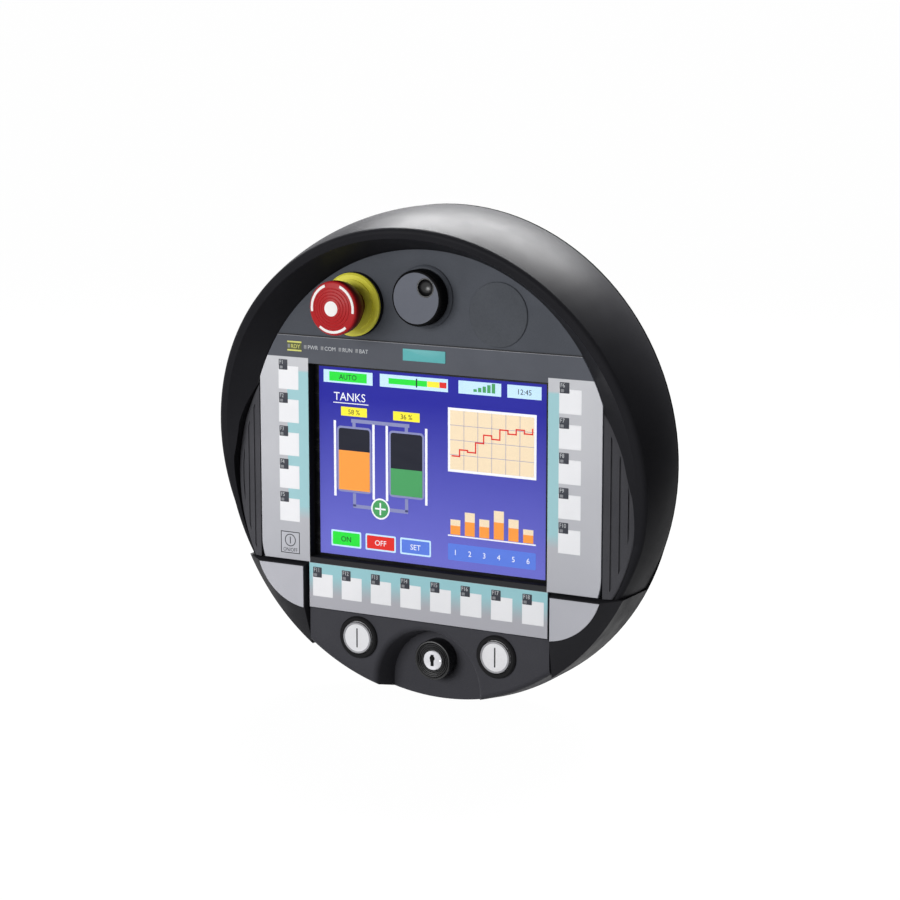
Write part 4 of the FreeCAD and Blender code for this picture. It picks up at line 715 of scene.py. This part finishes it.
INK = 0.06
POWER_RING = (3.35, 3.9)
POWER_RING_RISE = 1.4
px, pz = middle_of("key_power")
foil_level = -FOIL_Y / MM
inner, outer = POWER_RING
ring_profile = [(inner, foil_level), (outer, foil_level), (outer, foil_level + INK),
                (inner, foil_level + INK), (inner, foil_level)]
sign = [
    outline_frame("power_frame", px, pz, KEY_SIZE, KEY_SIZE, 0.5, FOIL_Y, INK),
    lathe("power_ring", ring_profile, px, pz + POWER_RING_RISE, steps=48),
    plate("power_bar", px, pz + POWER_RING_RISE, 0.6, 4.2, FOIL_Y, INK),
    lettering("power_words", "ON/OFF", px, pz - 5.6, 3.3, FOIL_Y, thick=INK, align="CENTER", squeeze=NARROW),
]
settle(join("power_sign", sign), "ink", "key_power_body")


# Header: ready box, status lamps and a bare plate

PRINT = 0.05
RAISED_PRINT = 0.08
READY_X = -89.7
READY_FIELD = (10.0, 4.2)
READY_BAR = (10.0, 0.9)
READY_BARS_Z = (61.7, 56.6)
STATUS_Z = 59.1
STATUS_WORD_Z = 57.9
STATUS_LETTER = 3.4
STATUS_LAMP = (1.9, 2.2)
STATUS_LAMPS = ((-82.0, "PWR"), (-70.2, "COM"), (-57.8, "RUN"), (-46.2, "BAT"))
BARE_PLATE = (28.4, 7.0)
ready_face = FOIL_Y - PRINT * MM
box = [plate("ready_bar", READY_X, z, *READY_BAR, FOIL_Y, RAISED_PRINT) for z in READY_BARS_Z]
box.append(lettering("ready_word", "RDY", -92.3, STATUS_WORD_Z, STATUS_LETTER, ready_face, thick=PRINT))
settle(join("ready_box", box), "bar_yellow", "housing")
settle(plate("ready_field", READY_X, 59.15, *READY_FIELD, FOIL_Y, PRINT), "ready_field", "housing")
windows = [plate("lamp_ready", -93.6, STATUS_Z, 1.5, 2.2, ready_face, PRINT, corner=0.2)]
words = []
for x, word in STATUS_LAMPS:
    windows.append(plate(f"lamp_{word}", x, STATUS_Z, *STATUS_LAMP, FOIL_Y, RAISED_PRINT,
                         corner=0.2, edge=0.02))
    words.append(lettering(f"word_{word}", word, x + 1.6, STATUS_WORD_Z, STATUS_LETTER, FOIL_Y, thick=PRINT))
settle(join("status_lamps", windows), "lamp", "housing")
settle(join("status_words", words), "letter", "housing")
bare = plate("bare_plate", -0.5, 59.3, *BARE_PLATE, FOIL_Y, 0.35, corner=0.4, edge=0.1)
settle(bare, "bare_plate", "housing")


# Display: a black lining of the opening and a plain process page on the touch panel

PAGE = (152.4, 114.3)
LAYER = 0.05
OPENING = (160.5, 118.5)
LINING = 0.3
page_x, page_z = middle_of("touch_panel")
lining_depth = (GLASS_Y - FOIL_Y) / MM - 0.1
lining = outline_frame("display_lining", page_x, page_z, *OPENING, LINING, GLASS_Y, lining_depth)
settle(lining, "seal", "housing")
page = {}


def field(finish, u, v, width, height, layer, corner=0.0):
    """A rectangle of the page; u and v are its middle, from the page's middle."""
    face = GLASS_Y - layer * LAYER * MM
    made = plate(f"page_{finish}", page_x + u, page_z + v, width, height, face, LAYER, corner=corner)
    page.setdefault(finish, []).append(made)


def caption(finish, text, u, v, size, layer, align="CENTER"):
    face = GLASS_Y - layer * LAYER * MM
    made = lettering(f"page_text_{finish}", text, page_x + u, page_z + v, size, face, LAYER, align)
    page.setdefault(finish, []).append(made)


def disc(finish, u, v, radius, layer):
    low = -GLASS_Y / MM + layer * LAYER
    made = coin(f"page_{finish}", radius, low, low + LAYER, page_x + u, page_z + v, 48)
    page.setdefault(finish, []).append(made)


def status_line():
    """Mode, gauge, signal and clock along the upper edge."""
    line = 51.6
    foot = 50.1
    letter = 4.4
    mode, gauge, signal, clock = -56, -11, 33, 62
    for u, width in ((mode, 34), (gauge, 46), (signal, 28), (clock, 22)):
        field("screen_pale", u, line, width, 7.6, 1)
    field("screen_green", mode, line, 26, 5.6, 2)
    caption("screen_dark", "AUTO", mode, foot, letter, 3)
    for finish, u, width in (("screen_green", -15, 26), ("screen_yellow", 2.2, 8), ("screen_red", 8.7, 4.6)):
        field(finish, u, line, width, 3.4, 2)
    field("screen_dark", gauge + 2, line, 0.8, 5.2, 3)
    for bar in range(5):
        tall = bar + 1.6
        field("screen_leaf", signal - 3 + bar * 3, 49.4 + 0.5 * tall, 2.2, tall, 2)
    caption("screen_dark", "12:45", clock, foot, letter, 2)


def title():
    caption("screen_white", "TANKS", -66, 37.4, 7.0, 1, align="LEFT")
    field("screen_white", -54.2, 35.9, 24.4, 0.5, 1)


def tanks():
    """Two tanks with their posts and pipes, a pump between them and a reading above each."""
    left, right = -52, -16
    pump = (-34, -26.2)
    middle = 2
    pipe = 2.2
    for u, finish, level in ((left, "screen_orange", 24), (right, "screen_leaf", 16)):
        field("screen_steel", u, middle, 24, 40, 1, corner=2.5)
        field("screen_dark", u, middle, 21.5, 37.5, 2, corner=1.6)
        field(finish, u, -16.7 + level / 2, 21.5, level, 3)
        for post in (13.4, -13.4):
            field("screen_white", u + post, middle, 1.6, 46, 1)
    for pipe_v, run, stub_v, stub, layer in ((25.6, 40, 23.4, 5, 2), (pump[1], 38, -22.4, 8, 1)):
        field("screen_steel", pump[0], pipe_v, run, pipe, 1)
        for u in (left, right):
            field("screen_steel", u, stub_v, pipe, stub, layer)
    disc("screen_white", *pump, 6.4, 2)
    disc("screen_leaf", *pump, 5.4, 3)
    field("screen_white", *pump, 7.4, 1.0, 4)
    field("screen_white", *pump, 1.0, 7.4, 4)
    for u, reading in ((left, "58 %"), (right, "36 %")):
        field("screen_yellow", u, 31, 18, 5.4, 1)
        caption("screen_dark", reading, u, 29.4, 4.2, 2)


def curve_sheet():
    """A squared sheet with a stepped curve."""
    sheet = (41, 20)
    width, height = 55, 35
    left, foot = 13.5, 2.5
    start, pitch, line = 14.5, 5.3, 0.8
    heights = (8, 12, 11, 17, 22, 20, 26, 24, 27, 25, 28)
    field("screen_white", *sheet, width + 3, height + 3, 1)
    field("screen_cream", *sheet, width, height, 2)
    for step in range(1, 6):
        field("screen_steel", left + step * 9.17, sheet[1], 0.25, height, 3)
    for step in range(1, 4):
        field("screen_steel", sheet[0], foot + step * 8.75, width, 0.25, 3)
    for step, (before, after) in enumerate(zip(heights, heights[1:])):
        u = start + step * pitch
        field("screen_red", u + pitch / 2, foot + before, pitch, line, 4)
        field("screen_red", u + pitch, foot + (before + after) / 2, line, abs(after - before) + line, 4)


def bars_and_buttons():
    """Six bars over a numbered strip, and three touch fields."""
    first, pitch = 17, 9.6
    foot = -36.5
    touch = -47
    letter, letter_foot = 4.6, -48.7
    strip = (41, 58)
    for number, tall in enumerate((9, 14, 11, 17, 13, 8)):
        u = first + number * pitch
        field("screen_cream", u, foot + tall / 2, 6.6, tall, 1)
        field("screen_orange", u, foot + tall * 0.6 / 2, 6.6, tall * 0.6, 2)
    field("screen_white", strip[0], -37.2, strip[1], 0.8, 1)
    buttons = (
        (-58, "screen_green", "ON", "screen_dark"),
        (-34, "screen_red", "OFF", "screen_white"),
        (-10, "screen_button", "SET", "screen_white"),
    )
    for u, finish, word, ink in buttons:
        field("screen_pale", u, touch, 21, 10, 1, corner=0.8)
        field(finish, u, touch, 19, 8, 2, corner=0.6)
        caption(ink, word, u, letter_foot, letter, 3)
    field("screen_button", strip[0], touch, strip[1], 10, 1, corner=0.8)
    for number in range(6):
        caption("screen_white", str(number + 1), first + number * pitch, letter_foot, letter, 2)


field("blue", 0, 0, *PAGE, 0)
status_line()
title()
tanks()
curve_sheet()
bars_and_buttons()
for finish, parts in page.items():
    settle(join(f"display_{finish}", parts), finish, "housing")


# Emergency stop: cap with shallow rings, turning marks and a white centre

CAP_DROP = 1.78
CAP_ROUND = 1.6
CAP_FLAT = 4.8
CAP_BORE = 5.75
CAP_SKIRT = (12.8, 15.2)
SKIRT_RISE = 4.8
CAP_RINGS = (12.0, 10.2, 8.4, 6.6)
RING_DEPTH = 0.2
RING_STEPS = (0.2, 0.5, 0.7)
MARK_RADII = (13.1, 14.6)
MARK_MIDDLES = (30, 150, 271)
MARK_SWEEP = 78
DOT_RADIUS = 4.4
ex, ez = middle_of("estop_cap")
cap_front, cap_back, cap_radius = turned("estop_cap")
cap_edge = cap_front - CAP_DROP
cap_fall = CAP_DROP / (cap_radius - CAP_ROUND - CAP_FLAT)
bore_top = turned("estop_plunger")[0] + 0.3


def on_cap(radius):
    """Level of the cap's gently coned face."""
    return cap_front - max(radius - CAP_FLAT, 0) * cap_fall


cap_profile = [(0, bore_top), (CAP_BORE, bore_top), (CAP_BORE, cap_back), (CAP_SKIRT[0], cap_back),
               (CAP_SKIRT[1], cap_back + SKIRT_RISE), (cap_radius, cap_edge - SKIRT_RISE)]
for step in range(7):
    turn = math.radians(15 * step)
    cap_profile.append((cap_radius - CAP_ROUND * (1 - math.cos(turn)),
                        cap_edge - CAP_ROUND + CAP_ROUND * math.sin(turn)))
for radius in CAP_RINGS:
    floor_level = on_cap(radius) - RING_DEPTH
    near, far, inside = RING_STEPS
    cap_profile += [(radius, on_cap(radius)), (radius - near, floor_level), (radius - far, floor_level),
                    (radius - inside, on_cap(radius - inside))]
cap_profile += [(CAP_FLAT, cap_front - 0.05), (0, cap_front - 0.05)]
cap = lathe("estop_mushroom", cap_profile, ex, ez, steps=128)
# The red material paints shade onto the side and back of the cap.
settle(cap, "red", "estop_cap_body")
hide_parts("estop_cap")
marks = []
for middle in MARK_MIDDLES:
    marks.append(arc_strip("turning_mark", ex, ez, *MARK_RADII, cap_edge - 0.2, cap_edge + 0.3,
                           middle - MARK_SWEEP / 2, MARK_SWEEP))
dot_profile = [(0, cap_front - 0.1), (DOT_RADIUS, cap_front - 0.1), (DOT_RADIUS, cap_front - 0.05),
               (DOT_RADIUS - 0.2, cap_front), (0, cap_front)]
marks.append(lathe("cap_dot", dot_profile, ex, ez, steps=48))
settle(join("estop_marks", marks), "white", "estop_cap_body")

# Dark ring round the foot of the collar
BASE_LAP = 0.1
BASE_LIP = 0.25
BASE_HEIGHTS = (2.9, 3.2)
collar_edge = turned("estop_collar")[2]
plate_level = turned("front_plate")[0]
inside, outside = collar_edge - BASE_LAP, collar_edge + BASE_LIP
base_profile = [(inside, plate_level), (outside, plate_level), (outside, plate_level + BASE_HEIGHTS[0]),
                (inside, plate_level + BASE_HEIGHTS[1]), (inside, plate_level)]
settle(lathe("estop_base_ring", base_profile, ex, ez, steps=96), "device", "housing")


# Handwheel: ribbed near-black grip round the knob, partly a knurled grip and partly painted shade of the
# knob's side, and a polished bowl for the fingertip

RIBS = 60
RIB_HEIGHT = 0.15
RIB_INSET = 0.08
BOWL_RIM = 0.6
BOWL_FLOOR = 0.8
kx, kz = middle_of("handwheel_knob")
knob_front, knob_back, knob_radius = turned("handwheel_knob")
grip_profile = [(knob_radius - 0.05, knob_back), (knob_radius + 0.15, knob_back),
                (knob_radius + 0.15, knob_front - 1.3), (knob_radius - 0.25, knob_front - 0.5),
                (knob_radius - 0.9, knob_front - 0.05), (knob_radius - 1.3, knob_front + 0.04),
                (knob_radius - 1.3, knob_front - 1.6), (knob_radius - 0.05, knob_front - 1.6),
                (knob_radius - 0.05, knob_back)]
sleeve = lathe("knob_grip", grip_profile, kx, kz, steps=RIBS * 2)


def on_rib(middle, normal):
    out = Vector((middle.x - kx * MM, 0, middle.z - kz * MM))
    turn = math.degrees(math.atan2(out.z, out.x)) % 360
    return normal.dot(out.normalized()) > ALONG and int(turn / 180 * RIBS) % 2 == 0 and abs(normal.y) < 0.1


choose(sleeve, "FACE", on_rib)
bpy.ops.mesh.inset(thickness=RIB_INSET * MM, depth=RIB_HEIGHT * MM, use_individual=True)
finish_mesh(sleeve, angle=25.0)
# Near-black sleeve: partly the grip's own colour, partly painted shade of the knob's side.
settle(sleeve, "knob_side_black_and_shade", "handwheel")

cx, cz = middle_of("handwheel_finger_cup")
cup_front, cup_back, cup_radius = turned("handwheel_finger_cup")
bowl_depth = cup_front - cup_back - BOWL_FLOOR
bowl_profile = []
for step in range(13):
    turn = math.radians(7.5 * step)
    bowl_profile.append(((cup_radius - BOWL_RIM) * math.sin(turn), cup_front - bowl_depth * math.cos(turn)))
bowl_profile += [(cup_radius, cup_front), (cup_radius, cup_back), (0, cup_back)]
bowl = lathe("finger_bowl", bowl_profile, cx, cz, steps=64)
settle(bowl, "cup", "handwheel")
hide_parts("handwheel_finger_cup")


# Pushbuttons: a slightly raised grey ring painted as the shade of the lens's rounded edge, a dark edge and an
# upright bar on each lens

# The grey ring is painted shade of a rounded lens edge.
LENS_RINGS = (("ring", "lens_edge_painted_shade", 0.45, 1.6), ("edge", "device", 0.05, 0.45))
LENS_BAR = (0.9, 11.8)
for side in ("left", "right"):
    bx, bz = middle_of(f"pushbutton_lens_{side}")
    lens_front, _, lens_radius = turned(f"pushbutton_lens_{side}")
    for label, finish, outer, inner in LENS_RINGS:
        inside, outside = lens_radius - inner, lens_radius - outer
        ring_profile = [(inside, lens_front - 0.1), (inside, lens_front + 0.08),
                        (inside + 0.12, lens_front + 0.16), (outside - 0.12, lens_front + 0.16),
                        (outside, lens_front + 0.04), (outside, lens_front - 0.1), (inside, lens_front - 0.1)]
        ring = lathe(f"lens_{label}_{side}", ring_profile, bx, bz, steps=72)
        settle(ring, finish, f"pushbutton_{side}")
    lens_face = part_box(f"pushbutton_lens_{side}")[0].y
    bar = plate(f"lens_bar_{side}", bx, bz, *LENS_BAR, lens_face, 0.08, corner=0.2, edge=0.03)
    settle(bar, "ink", f"pushbutton_{side}")


# Key switch: ridged collar round the lock, black keyhole shapes painted as the shade inside the hole, and
# pointer nub

LOCK_BORE = 6.5
RIDGE_RADII = (7.9, 9.0, 10.1)
NICHE_DEPTH = 9.0
SLEEVE_STEP = 2.3
lx, lz = middle_of("key_switch_collar")
collar_front, collar_back, collar_radius = turned("key_switch_collar")
sleeve_radius = collar_radius - SLEEVE_STEP
niche_level = collar_front - NICHE_DEPTH
ridge_profile = [(LOCK_BORE, collar_back), (LOCK_BORE, collar_front - 0.9),
                 (LOCK_BORE + 0.3, collar_front - 0.6), (LOCK_BORE + 0.7, collar_front - 0.6)]
for radius in RIDGE_RADII:
    ridge_profile += [(radius - 0.5, collar_front - 1.1), (radius - 0.25, collar_front - 0.35),
                      (radius + 0.05, collar_front - 0.3), (radius + 0.3, collar_front - 1.1)]
ridge_profile += [(collar_radius - 1.3, collar_front - 0.2), (collar_radius - 1.0, collar_front),
                  (collar_radius - 0.4, collar_front - 0.1), (collar_radius, collar_front - 0.6),
                  (collar_radius, niche_level), (sleeve_radius, niche_level), (sleeve_radius, collar_back),
                  (LOCK_BORE, collar_back)]
ridges = lathe("lock_collar", ridge_profile, lx, lz, steps=96)
settle(ridges, "lock", "housing")
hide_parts("key_switch_collar")
lock_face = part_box("key_switch_barrel")[0].y
lock_level = -lock_face / MM
# Painted shade: thin black shapes on the lock face stand for the dark inside of the keyhole.
painted_hole_shade = [
    coin("keyhole_round", 1.75, lock_level, lock_level + 0.04, lx, lz + 1.3, 32),
    plate("keyhole_slot", lx + 0.1, lz - 1.2, 1.9, 4.6, lock_face, 0.045, corner=0.3),
    plate("keyhole_step", lx - 0.7, lz - 0.3, 1.5, 1.3, lock_face, 0.05, corner=0.2),
]
settle(join("keyhole_painted_shade", painted_hole_shade), "seal", "lock")
nub = plate("pointer_nub", lx + 5.6, lz, 1.5, 1.1, lock_face, 0.3, corner=0.2, edge=0.1)
settle(nub, "steel", "lock")


# Battery cover: rounded edges, two screw seats and a ribbed thumb recess

COVER_CORNER = 6.0
COVER_EDGE = 0.5
THUMB = (38.0, 19.0)
THUMB_DEPTH = 1.6
THUMB_CORNER = 4.0
RIB_PITCH = 3.2
RIB = (THUMB[0] - 8, 1.4)
RIB_SINK = 0.1
SCREW_Z = 64.0
SEAT_RADIUS, SEAT_DEPTH = 3.8, 2.1
SHANK_RADIUS = 2.1
low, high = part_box("battery_cover")
cover = ((high.x - low.x) / MM, (high.z - low.z) / MM)
cover_thick = (high.y - low.y) / MM
thumb_z = -cover[1] / 4
thumb_floor = high.y - THUMB_DEPTH * MM
lid = plate("battery_lid", 0, 0, *cover, low.y, -cover_thick, corner=COVER_CORNER, edge=COVER_EDGE)
carve(lid, plate("thumb_space", 0, thumb_z, *THUMB, thumb_floor, -THUMB_DEPTH * 2, corner=THUMB_CORNER))
seat_profile = [(0, -1), (SEAT_RADIUS, -1), (SEAT_RADIUS, SEAT_DEPTH), (SHANK_RADIUS, SEAT_DEPTH),
                (SHANK_RADIUS, cover_thick + 1), (0, cover_thick + 1)]
for z in (-SCREW_Z, SCREW_Z):
    carve(lid, lathe("screw_space", seat_profile, 0, z, steps=48))
finish_mesh(lid)
ribs = []
for step in range(-2, 3):
    ribs.append(plate("thumb_rib", 0, thumb_z + step * RIB_PITCH, *RIB, thumb_floor - RIB_SINK * MM,
                      RIB_SINK - THUMB_DEPTH, corner=0.6, edge=0.4))
lid = settle(join("battery_lid", [lid] + ribs), "cover", "housing")
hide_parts("battery_cover")


# Enabling buttons: raised bars across the rear face

BAR = (12.0, 2.2)
BAR_PITCH = 7.0
BAR_SINK = 0.3
BAR_THICK = 0.8
for side in ("left", "right"):
    bx, bz = middle_of(f"enabling_button_{side}")
    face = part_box(f"enabling_button_{side}")[1].y
    bars = []
    for step in range(-5, 6):
        bars.append(plate("enabling_bar", bx, bz + step * BAR_PITCH, *BAR, face - BAR_SINK * MM, -BAR_THICK,
                          corner=1.0, edge=0.35))
    settle(join(f"enabling_bars_{side}", bars), "grip", f"enabling_{side}")


# Floor, light and camera

FLOOR_SIZE = 600
FLOOR_GAP = 0.0005
FLOOR_GREY = 0.25
FLOOR_GLOW = 1.04
FLOOR_GLOW_SHARE = 0.95
CARD_PLACE = (0.32, 0.55, 0.18)
CARD_LENGTH = 1.1
CARD_HEIGHT = 0.6
CARD_GREY = 0.01
STAGE_ROUGHNESS = 0.9
WORLD_LIGHT = 0.13
CAMERA_LENS = 98.8
SENSOR_WIDTH = 36.0
CAMERA_PLACE = (0.69984, -1.31402, 0.26377)
CAMERA_AIM = (0.01242, -0.06937, 0.00372)


def stage_material(name, grey):
    return new_material(name, Base_Color=(grey, grey, grey, 1), Roughness=STAGE_ROUGHNESS)


def seen_rays(tree):
    """One for what the camera sees, by itself, in gloss or through glass."""
    rays = add_node(tree, "ShaderNodeLightPath").outputs
    mirrored = math_node(tree, "MAXIMUM", rays["Is Glossy Ray"], rays["Is Transmission Ray"])
    return math_node(tree, "MAXIMUM", rays["Is Camera Ray"], mirrored)


def look_at(obj, place, aim):
    obj.location = place
    obj.rotation_euler = (Vector(aim) - Vector(place)).to_track_quat("-Z", "Y").to_euler()


def make_floor():
    deselect()
    bpy.ops.mesh.primitive_plane_add(size=FLOOR_SIZE, location=(0, 0, cad_box[0][2] - FLOOR_GAP))
    floor = bpy.context.object
    floor.name = "floor"
    material, tree = stage_material("pale_floor", FLOOR_GREY)[:2]
    glow = add_node(tree, "ShaderNodeEmission", {"Color": (1, 1, 1, 1), "Strength": FLOOR_GLOW}).outputs[0]
    share = math_node(tree, "MULTIPLY", seen_rays(tree), FLOOR_GLOW_SHARE)
    plain = tree.nodes["Principled BSDF"].outputs[0]
    mixed = add_node(tree, "ShaderNodeMixShader", {0: share, 1: plain, 2: glow})
    tree.links.new(mixed.outputs[0], tree.nodes["Material Output"].inputs["Surface"])
    floor.data.materials.append(material)


def make_dark_card():
    """A dark card behind the right flank, out of the camera's sight, that the flank mirrors."""
    deselect()
    bpy.ops.mesh.primitive_plane_add(size=1, location=CARD_PLACE, rotation=(0, math.pi / 2, 0))
    card = bpy.context.object
    card.name = "dark_card"
    card.scale = (CARD_HEIGHT, CARD_LENGTH, 1)
    apply_place()
    card.data.materials.append(stage_material("card_black", CARD_GREY)[0])
    card.visible_camera = False


def make_world():
    world = bpy.data.worlds.new("studio")
    bpy.context.scene.world = world
    world.use_nodes = True
    tree = world.node_tree
    background = tree.nodes["Background"].inputs
    tree.links.new(spread(tree, seen_rays(tree), 0.0, 1.0, WORLD_LIGHT, 1.0), background["Strength"])
    background["Color"].default_value = (1, 1, 1, 1)


def add_lamp(name, place, aim, size, power):
    lamp = bpy.data.lights.new(name, "AREA")
    lamp.shape = "RECTANGLE"
    lamp.size, lamp.size_y = size
    lamp.energy = power
    obj = bpy.data.objects.new(name, lamp)
    bpy.context.scene.collection.objects.link(obj)
    look_at(obj, place, aim)
    obj.visible_camera = False


def make_camera():
    data = bpy.data.cameras.new("camera")
    data.lens = CAMERA_LENS
    data.sensor_width = SENSOR_WIDTH
    camera = bpy.data.objects.new("camera", data)
    bpy.context.scene.collection.objects.link(camera)
    look_at(camera, CAMERA_PLACE, CAMERA_AIM)
    bpy.context.scene.camera = camera


make_floor()
make_dark_card()
make_world()
add_lamp("key_light", place=(-0.8, -2.55, 0.55), aim=(0, -0.05, 0), size=(1.8, 1.2), power=58.0)
add_lamp("top_light", place=(-0.22, 0.75, 1.05), aim=(0, -0.05, 0.1), size=(1.2, 0.6), power=120.0)
make_camera()
bpy.context.scene.view_settings.view_transform = "Standard"

deselect()
